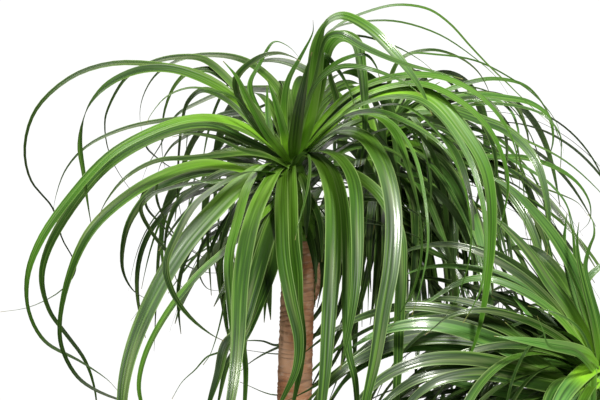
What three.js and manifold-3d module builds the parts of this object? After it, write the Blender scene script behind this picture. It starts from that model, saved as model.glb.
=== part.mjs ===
// A potted ponytail palm: a round clay pot of soil, a swollen base with three ringed canes,
// and on each cane a head of long strap leaves that arch over and hang.
// Millimetres, +Z up, origin at the middle of the pot's foot. The viewer stands at -Y.

import * as THREE from 'three';
import { mergeVertices } from 'three/addons/utils/BufferGeometryUtils.js';
import Module from 'manifold-3d';

const wasm = await Module();
wasm.setup();
const { Manifold, Mesh } = wasm;

// ---------------------------------------------------------------- driving dimensions

const SEAT_GAP = 0.3;
const SLIVER = 0.05;

const POT = {
  height: 245, rimRadius: 150, footRadius: 108, wall: 9, floor: 12,
  bandHeight: 42, bandStep: 6, edge: 3, sides: 48,
  drainRadius: 9, drainRing: 55, drains: 3,
};

const SOIL = { depthBelowRim: 22, dome: 5, crumb: 1.4, holeFloor: 170, sides: 32, rings: 4 };

// Radius of the swollen base at each height. It is round where it stands in the soil.
const BASE = {
  sides: 32, lobes: 5, lobeDepth: 0.025,
  profile: [
    [SOIL.holeFloor + SEAT_GAP, 86], [234, 86], [243, 96], [259, 107], [279, 112],
    [301, 109], [323, 96], [342, 76], [358, 53], [371, 28],
  ],
};

// Middle line of each cane, from inside the swollen base to where its leaves begin.
const CANE = {
  sides: 10, ringPitch: 40, ringHeight: 1.1, footRadius: 29, topRadius: 17.6, taperLength: 260,
  flare: 20, flareLength: 130,
  main: [[-32, -20, 300], [-58, -48, 415], [-68, -60, 560], [-66.7, -60, 703], [-63.5, -60, 812],
    [-62, -60, 862]],
  rear: [[-6, 34, 300], [-40, 92, 420], [-66, 140, 560], [-66, 176, 680], [-62, 190, 755], [-36, 198, 800],
    [8, 200, 834], [46, 200, 876]],
  low: [[38, -12, 300], [98, -30, 388], [182, -48, 470], [243, -58, 556], [266, -60, 634]],
};

// The leaf-bearing tip of a cane, thick with leaf bases: radius at shares of its height.
const TIP = { sides: 12, outline: [[0, 17], [0.25, 22], [0.8, 24], [1.02, 19], [1.16, 8]] };

// Leaf roots stand in depth layers in the tip, this share of how far their ends come forward, and a step
// apart from their neighbours on the stem.
const ROOT_SPREAD = { share: 0.1, most: 14, step: 0.9, steps: 7 };

// A leaf blade: its three-sided section has a flat upper face and a keel below.
// Its cross-sections stand closer where it bends: a turn of one radian counts as `bendRun` of length.
const BLADE = {
  keel: 1.7, rootWidth: 0.62, rootLength: 0.2, taperPower: 2.6, tipWidth: 1.6,
  bendRun: 110, spacing: 120, fewest: 4, most: 10,
};

// Share of a leaf's length where its turn is read from the picture.
const SEEN_SHARE = 0.5;

// How far a leaf may be bent to pass its neighbours: forward (mm) or sideways (degrees).
const BENDS = {
  forward: [0, 18, -18, 36, -36, 54, -54, 72, -72],
  sideways: [0, 8, -8, 16, -16, 24, -24, 32, -32],
};

// The picture that the leaves are laid out on. A place in it is in its own pixels, 600 by 400,
// and at the main head one pixel is PICTURE.scale millimetres.
const PICTURE = {
  width: 600, height: 400, scale: 1.1, distance: 2500, pitchDegrees: 6,
  middle: new THREE.Vector3(-61, -60, 906),
};

// Growing point of each head in the picture, and how far back it stands.
const HEADS = {
  main: { pixel: [292, 160], depth: -60, cane: CANE.main },
  rear: { pixel: [378, 140], depth: 200, cane: CANE.rear },
  low: { pixel: [600, 372], depth: -60, cane: CANE.low },
};

// Leaves as the picture shows them: name, how far the end comes towards the viewer (mm), full width (mm),
// turn (degrees from facing the viewer; 90 is edge-on with the upper side up), then the middle line
// in pixels.
const MAIN_LEFT = [
  ['left_thread_high_dark', -60, 9, [50], [291, 160, 260, 125, 230, 92, 200, 74, 160, 65, 110, 64, 70, 78,
    36, 110, 25, 147, 31, 180, 53, 208, 62, 238, 76, 268, 63, 289, 30, 307, 0, 312]],
  ['left_twisted', 60, 12, [30, 30, 35, 35, 35, 35, 45, 85, 20, 20, 35], [291, 161, 262, 126, 230, 95, 200,
    78, 170, 69, 140, 70, 110, 83, 92, 101, 84, 118, 80, 145, 84, 175, 88, 205, 92, 229]],
  ['left_arch_dark_thin', -120, 10, [50], [291, 160, 262, 120, 240, 92, 205, 60, 180, 57, 154, 62, 127, 77,
    107, 112, 105, 127, 108, 148, 115, 166, 131, 190, 150, 208, 165, 224]],
  ['left_arch_dark', -160, 11, [50], [291, 160, 286, 120, 280, 92, 260, 70, 240, 59, 215, 55, 185, 58, 158,
    73, 145, 92, 140, 113, 144, 138, 156, 157, 168, 168]],
  ['left_arch_faint', 100, 5, [60], [290, 160, 260, 125, 235, 98, 212, 90, 188, 88, 166, 97, 150, 116, 147,
    123]],
  ['left_hook', -90, 10, [30], [290, 160, 262, 120, 238, 90, 226, 79, 210, 70, 200, 70, 186, 74, 174, 87,
    166, 106, 163, 121, 162, 150, 165, 168]],
  ['left_drop_inner_dark', -60, 10, [55], [290, 162, 265, 135, 250, 120, 228, 100, 203, 90, 188, 102, 182,
    125, 179, 155, 178, 195, 184, 230]],
  ['left_drop_dark', -140, 13, [50], [291, 160, 299, 125, 297, 101, 285, 92, 255, 89, 225, 92, 198, 103,
    176, 116, 160, 146, 148, 165, 141, 183]],
  ['left_short_bright', 60, 10, [15], [291, 164, 265, 130, 246, 95, 236, 76, 223, 61]],
  ['left_short_dark', 150, 11, [55], [290, 168, 265, 155, 242, 150, 215, 138, 190, 134, 172, 137]],
  ['left_level_dark', 110, 9, [45], [291, 163, 250, 153, 220, 155, 190, 158, 160, 160, 138, 169, 120, 183,
    105, 203, 99, 216]],
  ['left_thread_low_dark', -40, 9, [50], [291, 162, 262, 140, 230, 125, 200, 119, 160, 121, 120, 130, 86,
    147, 65, 171, 54, 205, 54, 212]],
  ['left_shade_arch', -70, 13, [50], [291, 160, 276, 132, 262, 118, 250, 113, 220, 116, 195, 131, 172, 146,
    160, 166, 157, 178]],
  ['left_long_bright', 90, 14, [32, 34, 42, 46, 42, 38, 58, 40, 50], [291, 163, 270, 146, 248, 128, 220,
    119, 190, 119, 150, 132, 110, 155, 70, 198, 41, 240, 28, 275, 29, 311, 45, 341, 80, 361, 108, 380, 118,
    391]],
  ['left_long_dull', 40, 15, [35, 38, 42, 38, 38, 52, 40, 45], [291, 166, 270, 152, 245, 140, 215, 127, 185,
    128, 145, 142, 105, 168, 73, 206, 48, 250, 42, 280, 50, 311, 64, 331, 85, 360, 95, 390, 98, 430]],
  ['left_long_middle', 110, 15, [35, 32, 28, 38, 62, 55, 55], [291, 176, 262, 178, 235, 168, 205, 164, 165,
    175, 125, 198, 90, 232, 69, 278, 60, 325, 63, 350, 80, 379, 112, 397, 140, 403, 165, 408]],
  ['left_broad', 170, 20, [8, 5, 5, 10, 25], [290, 178, 262, 170, 240, 185, 210, 215, 182, 248, 156, 292,
    134, 343, 124, 383, 122, 420, 126, 460, 133, 495]],
  ['left_curled_dark', 150, 13, [55, 50, 50, 60], [290, 180, 265, 172, 245, 173, 220, 185, 195, 205, 178,
    233, 166, 265, 173, 293, 190, 317, 212, 335, 224, 341]],
  ['left_inner_dark_1', 60, 13, [45, 50, 60], [290, 178, 255, 170, 225, 172, 200, 186, 180, 200, 169, 222,
    165, 247, 167, 267]],
  ['left_inner_dark_2', 20, 14, [50, 40, 50], [289, 182, 240, 172, 205, 172, 175, 180, 152, 192, 132, 217,
    124, 240, 123, 270, 133, 290, 148, 300]],
  ['left_inner_dark_3', 90, 9, [60], [290, 184, 235, 180, 180, 186, 150, 196, 141, 208, 153, 234, 169, 253,
    177, 281, 183, 288]],
  ['left_inner_dark_4', -60, 8, [60], [289, 190, 235, 176, 180, 174, 158, 182, 161, 210, 170, 233, 180,
    241]],
  ['left_shade_short', -100, 13, [45], [290, 172, 250, 170, 220, 170, 195, 175, 182, 187, 183, 195]],
  ['left_loop_dark', -20, 9, [50], [288, 200, 255, 210, 228, 226, 205, 241, 198, 266, 207, 288, 226, 291]],
  ['left_sweep_low', 190, 12, [45, 50, 60], [289, 190, 262, 215, 226, 250, 200, 273, 170, 309, 146, 353,
    139, 385, 143, 410, 150, 440, 158, 470]],
];

const MAIN_FRONT = [
  ['front_left_bright', 200, 13, [30], [290, 170, 275, 163, 262, 167, 249, 184, 238, 220, 229, 260, 232,
    310, 236, 350, 234, 380, 228, 412, 222, 445, 218, 478]],
  ['front_left_broad', 274, 19, [15], [290, 172, 280, 168, 264, 192, 251, 225, 241, 280, 238, 340, 234, 380,
    228, 415, 220, 450, 214, 485]],
  ['front_left_late', 150, 10, [40], [290, 190, 270, 215, 252, 265, 243, 335, 246, 370, 245, 400, 243, 435,
    240, 470]],
  ['front_left_shade_1', 150, 19, [25], [290, 195, 278, 212, 264, 250, 251, 295, 240, 330, 226, 345, 218,
    375, 210, 400, 202, 430]],
  ['front_left_shade_2', 110, 14, [35], [291, 205, 280, 228, 275, 262, 261, 300, 246, 335, 235, 352, 227,
    365, 220, 395, 214, 420]],
  ['front_pair_plain_1', 130, 17, [25], [291, 169, 287, 165, 284, 171, 282, 190, 282, 220, 284, 260, 291,
    300, 299, 340, 296, 370, 283, 398, 269, 425]],
  ['front_pair_plain_2', 120, 16, [30], [293, 168, 292, 164, 292, 172, 292, 200, 293, 240, 297, 275, 298,
    305, 302, 340, 300, 370, 294, 400, 288, 425]],
  ['front_middle_thin', 70, 6, [50], [295, 190, 300, 230, 301, 260, 301, 290, 303, 320]],
  ['front_right_broad', 180, 20, [22], [295, 168, 300, 155, 318, 160, 331, 190, 333, 250, 329, 310, 325,
    370, 322, 400, 319, 440, 316, 480]],
  ['front_right_gloss', 150, 14, [35], [296, 168, 310, 152, 332, 168, 343, 200, 347, 260, 346, 300, 348,
    350, 355, 380, 357, 412, 356, 445, 353, 478]],
  ['front_right_inner', 170, 17, [25], [296, 163, 308, 152, 335, 155, 352, 177, 357, 230, 355, 290, 347,
    340, 340, 370]],
  ['front_right_arch', 190, 20, [15], [295, 163, 318, 143, 342, 131, 365, 138, 383, 165, 393, 210, 391, 265,
    383, 310, 375, 360, 366, 400, 358, 440, 352, 475]],
  ['front_right_outer', 100, 15, [25], [297, 180, 340, 170, 375, 190, 398, 230, 401, 270, 399, 320, 397,
    380, 393, 420, 388, 455, 383, 488]],
  ['right_shallow_young', 130, 9, [50], [294, 161, 306, 150, 325, 133, 345, 117, 375, 111, 405, 121, 436,
    140, 452, 158, 462, 178]],
  ['right_twisted_young', 150, 15, [25, 35, 80, 60], [294, 161, 320, 132, 345, 115, 372, 113, 393, 130, 410,
    175, 420, 220, 421, 255, 413, 290, 403, 308, 391, 328]],
  ['right_thread', 60, 5, [60], [294, 161, 340, 120, 380, 112, 404, 124, 423, 149, 431, 190, 422, 232, 401,
    271]],
  ['front_behind_dark', -10, 9, [40], [295, 185, 308, 200, 317, 228, 321, 255, 322, 280, 317, 308]],
];

const MAIN_TOP = [
  ['top_tall_bright', 90, 19, [10, 10, 10, 10, 14, 72, 70, 55, 45, 45, 45], [293, 162, 303, 138, 313, 88,
    320, 38, 328, 22, 342, 16, 370, 29, 396, 55, 414, 78, 424, 95, 432, 115]],
  ['top_dark', 100, 15, [15], [293, 160, 295, 140, 300, 105, 306, 75, 312, 52]],
  ['top_spear_young', -40, 12, [40, 60], [291, 162, 286, 150, 284, 120, 288, 82, 303, 53, 313, 32, 313,
    20]],
  ['top_young_lime_1', 30, 10, [15], [291, 164, 284, 132, 275, 100, 267, 79]],
  ['top_young_lime_2', -30, 9, [20], [291, 163, 274, 145, 268, 115, 267, 85]],
  ['top_young_3', -50, 5, [50], [292, 160, 287, 120, 284, 105, 283, 88]],
  ['top_arch_left_1', -80, 9, [35], [290, 160, 262, 118, 250, 85, 260, 64, 274, 42, 286, 45, 297, 55, 303,
    66]],
  ['top_arch_left_dark', 60, 10, [42], [290, 160, 250, 118, 236, 80, 258, 58, 278, 53, 293, 57, 300, 61]],
  ['top_right_dark', -40, 11, [45], [294, 160, 320, 130, 337, 107, 330, 75, 325, 43]],
];

const MAIN_RIGHT = [
  ['right_arch_highest', 20, 9, [65, 65, 60], [294, 159, 303, 100, 315, 60, 335, 28, 380, 8, 405, 5, 430,
    10, 450, 24, 470, 46, 490, 67, 508, 84, 520, 96, 550, 124]],
  ['right_arch_second', 60, 7, [65], [294, 159, 310, 90, 325, 36, 340, 26, 370, 21, 400, 22, 440, 35, 476,
    59, 497, 78, 508, 94]],
  ['right_arch_third', 100, 10, [60], [294, 160, 315, 80, 327, 38, 340, 34, 364, 47, 402, 63, 432, 71, 463,
    79]],
  ['right_arch_thin', 40, 6, [65], [294, 160, 322, 90, 333, 47, 352, 36, 392, 45, 420, 60, 432, 70]],
  ['right_hanging_bright', 60, 14, [10], [294, 160, 318, 95, 330, 45, 342, 36, 356, 42, 362, 70, 365, 105,
    364, 140, 360, 165]],
  ['right_inner_1', 30, 8, [55], [295, 160, 310, 95, 323, 55, 338, 70, 349, 89, 355, 108]],
  ['right_inner_2', 80, 9, [55], [295, 160, 305, 110, 320, 78, 342, 60, 366, 55, 376, 66, 380, 80]],
  ['right_inner_3', 110, 9, [58], [295, 160, 303, 115, 315, 85, 340, 67, 370, 69, 407, 84, 420, 94]],
  ['right_far_lime', 60, 11, [40, 50], [295, 161, 315, 129, 350, 94, 394, 77, 441, 77, 480, 96, 505, 125,
    516, 152, 516, 172]],
  ['right_long_lime', 100, 11, [45, 50], [295, 162, 325, 127, 360, 98, 398, 85, 427, 85, 460, 101, 486, 125,
    502, 155, 508, 185, 502, 220, 495, 242]],
  ['right_broad_lime', 150, 17, [30, 30, 40], [296, 163, 320, 137, 350, 109, 380, 93, 412, 90, 436, 99, 464,
    131, 484, 165, 491, 199, 491, 245, 486, 290, 480, 325, 470, 355, 455, 380]],
  ['right_second_plain', 50, 11, [35], [295, 162, 340, 108, 376, 88, 405, 90, 431, 109, 465, 147, 479,
    172]],
  ['right_bright_strand', 80, 5, [50], [294, 162, 350, 118, 400, 105, 440, 135, 462, 180, 471, 225, 469,
    260, 462, 285, 454, 303, 440, 322]],
];

const REAR_TRACED = [
  ['rear_arch_dark', -20, 10, [60], [379, 142, 385, 100, 400, 60, 430, 50, 458, 57, 478, 72, 490, 95, 492,
    110]],
  ['rear_arch_thin', 20, 7, [65], [379, 141, 390, 85, 405, 56, 440, 55, 476, 61, 507, 76, 533, 94, 556, 122,
    564, 153]],
  ['rear_arch_level', -40, 12, [60], [380, 142, 420, 105, 465, 84, 496, 79, 527, 87, 548, 113, 561, 147,
    561, 167]],
  ['rear_arch_broad', 60, 15, [45, 50, 60], [381, 143, 425, 110, 472, 96, 505, 98, 530, 103, 548, 116, 553,
    135, 551, 150, 543, 165]],
  ['rear_drop_dark', 30, 12, [35], [380, 142, 420, 105, 470, 95, 500, 97, 515, 105, 526, 128, 530, 152]],
  ['rear_far_thread', 100, 6, [55], [381, 143, 450, 118, 500, 128, 529, 142, 552, 153, 572, 166, 600, 192,
    618, 215]],
  ['rear_hanging_bright', 210, 22, [25, 20], [381, 144, 395, 140, 421, 150, 456, 184, 479, 245, 488, 298,
    492, 325, 493, 348]],
  ['rear_right_broad', 170, 15, [30], [381, 143, 405, 117, 440, 108, 481, 120, 509, 132, 535, 160, 547, 200,
    549, 228, 547, 255]],
  ['rear_far_arch', 60, 12, [50, 50, 65], [381, 145, 430, 150, 487, 157, 525, 158, 560, 170, 580, 186, 590,
    205, 589, 222, 577, 234]],
  ['rear_far_dark', 0, 9, [60], [381, 145, 440, 155, 500, 172, 545, 189, 562, 195, 578, 203, 588, 216]],
  ['rear_far_thin', 90, 7, [50], [381, 145, 440, 140, 500, 155, 533, 172, 550, 184, 565, 202, 573, 225, 577,
    250]],
  ['rear_fan_1', 80, 9, [40], [380, 141, 390, 115, 403, 91, 420, 72]],
  ['rear_fan_2', 100, 9, [45], [380, 142, 400, 111, 415, 97, 440, 82]],
  ['rear_fan_3', 120, 9, [45], [380, 143, 405, 117, 432, 112, 460, 118, 478, 140]],
  ['rear_hanging_plain', 190, 13, [30], [381, 145, 398, 152, 420, 166, 438, 182, 453, 206, 466, 235, 477,
    263, 485, 292, 489, 322, 490, 352]],
  ['rear_shade_drop_1', 90, 13, [40], [381, 150, 390, 178, 402, 194, 420, 203, 440, 211, 454, 223, 462, 240,
    466, 265, 468, 300]],
  ['rear_dull_drop_2', 160, 13, [35], [381, 152, 388, 195, 400, 215, 415, 226, 428, 236, 440, 248, 450, 264,
    457, 290, 460, 320]],
  ['rear_shade_drop_3', 60, 9, [45], [381, 148, 400, 175, 415, 198, 428, 212, 440, 221, 448, 234, 453, 250,
    455, 275]],
  ['rear_shade_drop_4', 170, 15, [35], [381, 155, 386, 208, 398, 228, 414, 242, 432, 252, 450, 261, 464,
    275, 470, 300]],
  ['rear_far_drop_1', 40, 6, [50], [381, 146, 430, 152, 470, 165, 500, 190, 512, 206, 526, 224, 537, 244,
    541, 258]],
  ['rear_far_drop_2', 0, 7, [55], [381, 147, 430, 165, 480, 208, 505, 231, 525, 239, 550, 240]],
  ['rear_far_drop_3', 30, 8, [50], [381, 144, 440, 125, 500, 140, 522, 170, 529, 200, 531, 225, 530, 252]],
  ['rear_far_drop_4', 80, 6, [50], [381, 150, 440, 190, 500, 238, 530, 252, 548, 257, 564, 267]],
  ['rear_dark_strand', 120, 8, [40], [381, 146, 430, 160, 470, 200, 488, 250, 493, 300, 493, 335]],
  ['rear_cover_dark', 200, 15, [30], [381, 152, 383, 180, 382, 215, 379, 250, 375, 290, 370, 325]],
  ['rear_cover_shade', 170, 13, [35], [380, 153, 375, 185, 371, 218, 369, 252, 371, 292]],
];

const LOW_TRACED = [
  ['low_upright_broad', 20, 16, [25, 20, 30], [599, 374, 598, 345, 589, 306, 574, 270, 555, 238, 536, 214,
    510, 188, 488, 176, 476, 172]],
  ['low_upright_inner', 10, 16, [25, 20, 30], [598, 374, 589, 345, 568, 307, 549, 282, 530, 254, 510, 232,
    493, 217, 478, 208]],
  ['low_upright_dull', -10, 15, [150], [598, 375, 588, 345, 565, 315, 545, 292, 520, 268, 495, 252, 475,
    245]],
  ['low_left_broad', 110, 22, [20, 25, 35], [597, 386, 582, 394, 568, 390, 556, 379, 538, 366, 512, 350,
    480, 336, 455, 328, 430, 324, 407, 325, 385, 330, 362, 341, 343, 354]],
  ['low_left_second', 60, 17, [30, 35], [597, 388, 572, 385, 540, 371, 500, 356, 460, 348, 420, 346, 385,
    354, 352, 374, 328, 402]],
  ['low_left_bright', 130, 17, [30, 40], [599, 366, 590, 356, 575, 350, 549, 345, 520, 340, 494, 336]],
  ['low_drop_bright', 90, 14, [30], [598, 372, 593, 366, 591, 385, 591, 410, 593, 450, 598, 490]],
  ['low_drop_left_1', 60, 15, [35], [597, 384, 570, 368, 545, 362, 520, 378, 500, 402, 485, 432, 476, 465]],
  ['low_drop_left_2', 20, 15, [40], [597, 388, 565, 366, 535, 355, 500, 358, 478, 390, 462, 425, 454, 460]],
  ['low_drop_left_3', 110, 14, [35], [598, 386, 575, 378, 556, 386, 545, 410, 538, 445, 536, 480]],
  ['low_fresh_1', 100, 20, [10], [601, 368, 590, 369, 576, 380, 562, 398, 550, 428, 545, 465]],
  ['low_fresh_2', 120, 18, [15], [601, 378, 592, 384, 578, 396, 566, 418, 560, 455]],
  ['low_reach_1', -20, 12, [40], [599, 372, 565, 322, 530, 290, 495, 273, 463, 267, 440, 266, 420, 269, 398,
    278]],
  ['low_shade_reach_2', -50, 13, [40], [599, 373, 560, 328, 520, 304, 480, 290, 450, 282, 425, 278, 402,
    282]],
  ['low_shade_reach_3', 0, 14, [35], [598, 374, 560, 342, 520, 322, 480, 306, 450, 299, 428, 300, 408,
    310]],
  ['low_reach_4', 40, 10, [30], [599, 373, 560, 318, 520, 290, 490, 279, 470, 279, 452, 286, 434, 298, 418,
    307, 400, 316]],
  ['low_shade_reach_5', -30, 14, [35], [598, 375, 550, 347, 500, 324, 460, 313, 430, 310, 410, 315, 396,
    328]],
  ['low_under_1', -60, 15, [30], [598, 388, 560, 378, 510, 364, 470, 352, 440, 350, 420, 357, 400, 372]],
  ['low_under_2', 10, 10, [30], [598, 388, 560, 374, 520, 362, 480, 348, 457, 341, 440, 348, 425, 358, 408,
    371]],
  ['low_far_shade_1', 100, 18, [30], [597, 387, 560, 372, 515, 348, 470, 334, 430, 332, 392, 341, 358, 359,
    325, 384, 298, 412]],
  ['low_far_dark_2', 30, 17, [35], [597, 390, 550, 368, 500, 350, 450, 342, 408, 344, 372, 356, 340, 376,
    312, 405]],
  ['low_far_dark_3', 80, 18, [30], [597, 390, 555, 380, 510, 366, 460, 358, 418, 362, 380, 380, 352, 410,
    335, 440]],
  ['low_far_dark_4', 0, 15, [35], [598, 388, 550, 356, 500, 326, 450, 310, 408, 306, 370, 314, 335, 330,
    300, 356]],
  ['low_far_shade_5', 140, 16, [25], [597, 389, 560, 388, 520, 380, 475, 374, 436, 382, 408, 404, 392,
    440]],
  ['low_far_dark_6', 60, 11, [35], [598, 388, 555, 362, 505, 336, 455, 318, 412, 322, 378, 338, 348, 362,
    312, 388, 284, 402]],
  ['low_far_dark_7', 120, 17, [30], [597, 389, 555, 384, 505, 374, 455, 370, 415, 380, 385, 402, 365, 432]],
  ['low_far_shade_8', 60, 17, [30], [598, 389, 550, 366, 500, 346, 455, 338, 415, 340, 378, 351, 345, 369,
    318, 396, 300, 428]],
  ['low_bright_short', 30, 9, [40], [597, 378, 575, 365, 550, 345, 534, 322, 522, 307, 510, 293, 500, 284]],
  ['low_shade_short', 10, 12, [35], [596, 380, 562, 364, 541, 350, 528, 334, 515, 315, 503, 303, 491, 296]],
  ['low_up_1', 0, 9, [40], [600, 372, 590, 330, 578, 290, 575, 260, 573, 235, 568, 210]],
  ['low_up_2', 30, 10, [30], [601, 372, 595, 330, 585, 288, 579, 262, 577, 240, 579, 222]],
  ['low_up_3', 20, 10, [35], [601, 372, 600, 330, 590, 292, 585, 268, 589, 248, 594, 235, 593, 222, 588,
    214]],
  ['low_up_4', -30, 12, [30], [600, 372, 584, 322, 569, 275, 564, 245, 567, 213]],
  ['low_up_right', -20, 12, [30], [601, 372, 594, 330, 585, 300, 586, 282, 595, 271, 608, 262, 630, 256]],
];

// Leaves that the picture hides or leaves dark, set round each stem by a rule: how many, the arc that they
// fill (degrees, 90 is straight back), their length, and how steeply young and old ones leave the stem.
const HIDDEN = {
  main: [
    { seed: 11, count: 16, arc: [40, 130], length: [330, 470], lift: [66, 8], width: [12, 18] },
    { seed: 12, count: 8, arc: [130, 175], length: [220, 310], lift: [30, -5], width: [11, 15] },
    { seed: 13, count: 8, arc: [-5, 48], length: [320, 440], lift: [50, 5], width: [12, 17] },
    { seed: 14, count: 8, arc: [188, 236], length: [110, 165], lift: [5, -45], width: [10, 14] },
  ],
  rear: [
    { seed: 21, count: 12, arc: [45, 140], length: [370, 500], lift: [56, 8], width: [12, 18] },
    { seed: 22, count: 7, arc: [-25, 45], length: [280, 400], lift: [58, 5], width: [11, 16] },
    { seed: 23, count: 6, arc: [150, 215], length: [250, 350], lift: [50, 0], width: [11, 15] },
    { seed: 24, count: 13, arc: [270, 345], length: [220, 370], lift: [35, -30], width: [12, 18] },
  ],
  low: [
    { seed: 31, count: 12, arc: [-60, 105], length: [330, 450], lift: [72, 8], width: [12, 18] },
    { seed: 32, count: 17, arc: [105, 195], length: [300, 460], lift: [68, -5], width: [13, 19] },
    { seed: 33, count: 8, arc: [225, 300], length: [240, 360], lift: [10, -35], width: [12, 17] },
  ],
};

const COLOURS = { leaf: 0x5f9a2c, leafCool: 0x6c9a4a, bark: 0xa96f52, clay: 0xb5714f, soil: 0x3d2b21 };

// ---------------------------------------------------------------- solids

function area(a, b, c) {
  return new THREE.Triangle(a, b, c).getArea();
}

// A closed mesh from rings of points, each ring joined to the next and both ends capped.
function loft(rings) {
  const sides = rings[0].length;
  const points = rings.flat();
  const faces = [];
  for (let ring = 0; ring < rings.length - 1; ring += 1) {
    for (let side = 0; side < sides; side += 1) {
      const here = ring * sides + side;
      const next = ring * sides + ((side + 1) % sides);
      faces.push([here, next, next + sides], [here, next + sides, here + sides]);
    }
  }
  const last = (rings.length - 1) * sides;
  for (let side = 1; side < sides - 1; side += 1) {
    faces.push([0, side + 1, side], [last, last + side, last + side + 1]);
  }
  return facesOutward(points, faces);
}

function facesOutward(points, faces) {
  const volume = faces.reduce((sum, [a, b, c]) => (
    sum + points[a].dot(new THREE.Vector3().crossVectors(points[b], points[c]))), 0);
  const outward = volume > 0 ? faces : faces.map(([a, b, c]) => [a, c, b]);
  return new Manifold(new Mesh({
    numProp: 3,
    vertProperties: new Float32Array(points.flatMap((point) => point.toArray())),
    triVerts: new Uint32Array(outward.flat()),
  }));
}

function solidOf(geometry) {
  geometry.deleteAttribute('normal');
  geometry.deleteAttribute('uv');
  const merged = mergeVertices(geometry, 1e-4);
  const position = merged.getAttribute('position');
  const points = Array.from({ length: position.count }, (_, index) => (
    new THREE.Vector3().fromBufferAttribute(position, index)));
  const index = Array.from(merged.index.array);
  const faces = [];
  for (let corner = 0; corner < index.length; corner += 3) {
    const face = index.slice(corner, corner + 3);
    if (area(...face.map((vertex) => points[vertex])) > 1e-6) {
      faces.push(face);
    }
  }
  return facesOutward(points, faces);
}

// The largest body of a solid, with slivers merged and any sealed hollow inside it filled.
function oneBody(solid) {
  const bodies = solid.asOriginal().simplify(SLIVER).decompose();
  return bodies.reduce((best, body) => (body.volume() > best.volume() ? body : best));
}

function meshOf(name, solid, material) {
  const { vertProperties, triVerts, numProp } = solid.getMesh();
  const geometry = new THREE.BufferGeometry();
  const corners = new Float32Array(triVerts.length * 3);
  triVerts.forEach((vertex, corner) => {
    corners.set(vertProperties.subarray(vertex * numProp, vertex * numProp + 3), corner * 3);
  });
  geometry.setAttribute('position', new THREE.BufferAttribute(corners, 3));
  geometry.computeVertexNormals();
  const mesh = new THREE.Mesh(geometry, material);
  mesh.name = name;
  return mesh;
}

// A small repeatable random number source.
function draws(seed) {
  let state = seed * 2654435761;
  return (low, high) => {
    state = (state + 0x6d2b79f5) >>> 0;
    let bits = Math.imul(state ^ (state >>> 15), state | 1);
    bits ^= bits + Math.imul(bits ^ (bits >>> 7), bits | 61);
    return low + ((bits ^ (bits >>> 14)) >>> 0) / 4294967296 * (high - low);
  };
}

const mix = (from, to, share) => from + (to - from) * share;
const smooth = (share) => share * share * (3 - 2 * share);
const clamp = (value, low, high) => Math.min(high, Math.max(low, value));
const radians = THREE.MathUtils.degToRad;

// ---------------------------------------------------------------- the picture's view

const pitch = radians(PICTURE.pitchDegrees);
const forward = new THREE.Vector3(0, Math.cos(pitch), -Math.sin(pitch));
const upward = new THREE.Vector3(0, Math.sin(pitch), Math.cos(pitch));
const eye = PICTURE.middle.clone().addScaledVector(forward, -PICTURE.distance);
const focalPixels = PICTURE.distance / PICTURE.scale;

// The place at a given depth (mm along Y) that the picture shows at a pixel.
function placeOf(pixelX, pixelY, depth) {
  const ray = forward.clone()
    .addScaledVector(upward, (PICTURE.height / 2 - pixelY) / focalPixels)
    .add(new THREE.Vector3((pixelX - PICTURE.width / 2) / focalPixels, 0, 0));
  return eye.clone().addScaledVector(ray, (depth - eye.y) / ray.y);
}

// ---------------------------------------------------------------- leaves

// Share of a leaf's full width at a share of its length: narrower at the root, then a long taper to a thread.
function widthShare(share) {
  const root = mix(BLADE.rootWidth, 1, smooth(clamp(share / BLADE.rootLength, 0, 1)));
  const taper = 1 - clamp((share - BLADE.rootLength) / (1 - BLADE.rootLength), 0, 1) ** BLADE.taperPower;
  return root * taper;
}

function listAt(values, share) {
  const place = share * (values.length - 1);
  const index = Math.min(Math.floor(place), values.length - 2);
  return values.length === 1 ? values[0] : mix(values[index], values[index + 1], place - index);
}

// Shares of a curve's length at which a blade has its cross-sections.
function sectionShares(curve) {
  const samples = 60;
  const length = curve.getLength();
  const runs = [0];
  let before = curve.getTangentAt(0);
  for (let sample = 1; sample <= samples; sample += 1) {
    const along = curve.getTangentAt(sample / samples);
    runs.push(runs[sample - 1] + length / samples + BLADE.bendRun * along.angleTo(before));
    before = along;
  }
  const whole = runs[samples];
  const steps = Math.round(clamp(whole / BLADE.spacing, BLADE.fewest, BLADE.most));
  return Array.from({ length: steps + 1 }, (_, step) => {
    const sample = Math.max(1, runs.findIndex((run) => run >= whole * step / steps - 1e-6));
    const part = (whole * step / steps - runs[sample - 1]) / (runs[sample] - runs[sample - 1]);
    return clamp((sample - 1 + part) / samples, 0, 1);
  });
}

// A blade along a curve. across(share, along) gives the unit vector that its width lies on.
function bladeAlong(curve, width, across) {
  return loft(sectionShares(curve).map((share) => {
    const middle = curve.getPointAt(share);
    const along = curve.getTangentAt(share);
    const side = across(share, along);
    const upper = new THREE.Vector3().crossVectors(side, along);
    const half = Math.max(width * widthShare(share), BLADE.tipWidth) / 2;
    const keel = BLADE.keel * mix(1, 0.6, share);
    return [
      middle.clone().addScaledVector(side, -half),
      middle.clone().addScaledVector(upper, -keel),
      middle.clone().addScaledVector(side, half),
    ];
  }));
}

function squareTo(along, vector) {
  return vector.clone().addScaledVector(along, -vector.dot(along)).normalize();
}

// Carries a leaf's width direction along its curve without twisting it, both ways from a share where
// it is known.
function carried(curve, start, direction) {
  const samples = 40;
  const first = Math.round(start * samples);
  const list = [];
  list[first] = squareTo(curve.getTangentAt(first / samples), direction);
  for (let sample = first + 1; sample <= samples; sample += 1) {
    list[sample] = squareTo(curve.getTangentAt(sample / samples), list[sample - 1]);
  }
  for (let sample = first - 1; sample >= 0; sample -= 1) {
    list[sample] = squareTo(curve.getTangentAt(sample / samples), list[sample + 1]);
  }
  return (share, along) => squareTo(along, list[Math.round(share * samples)]);
}

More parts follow.
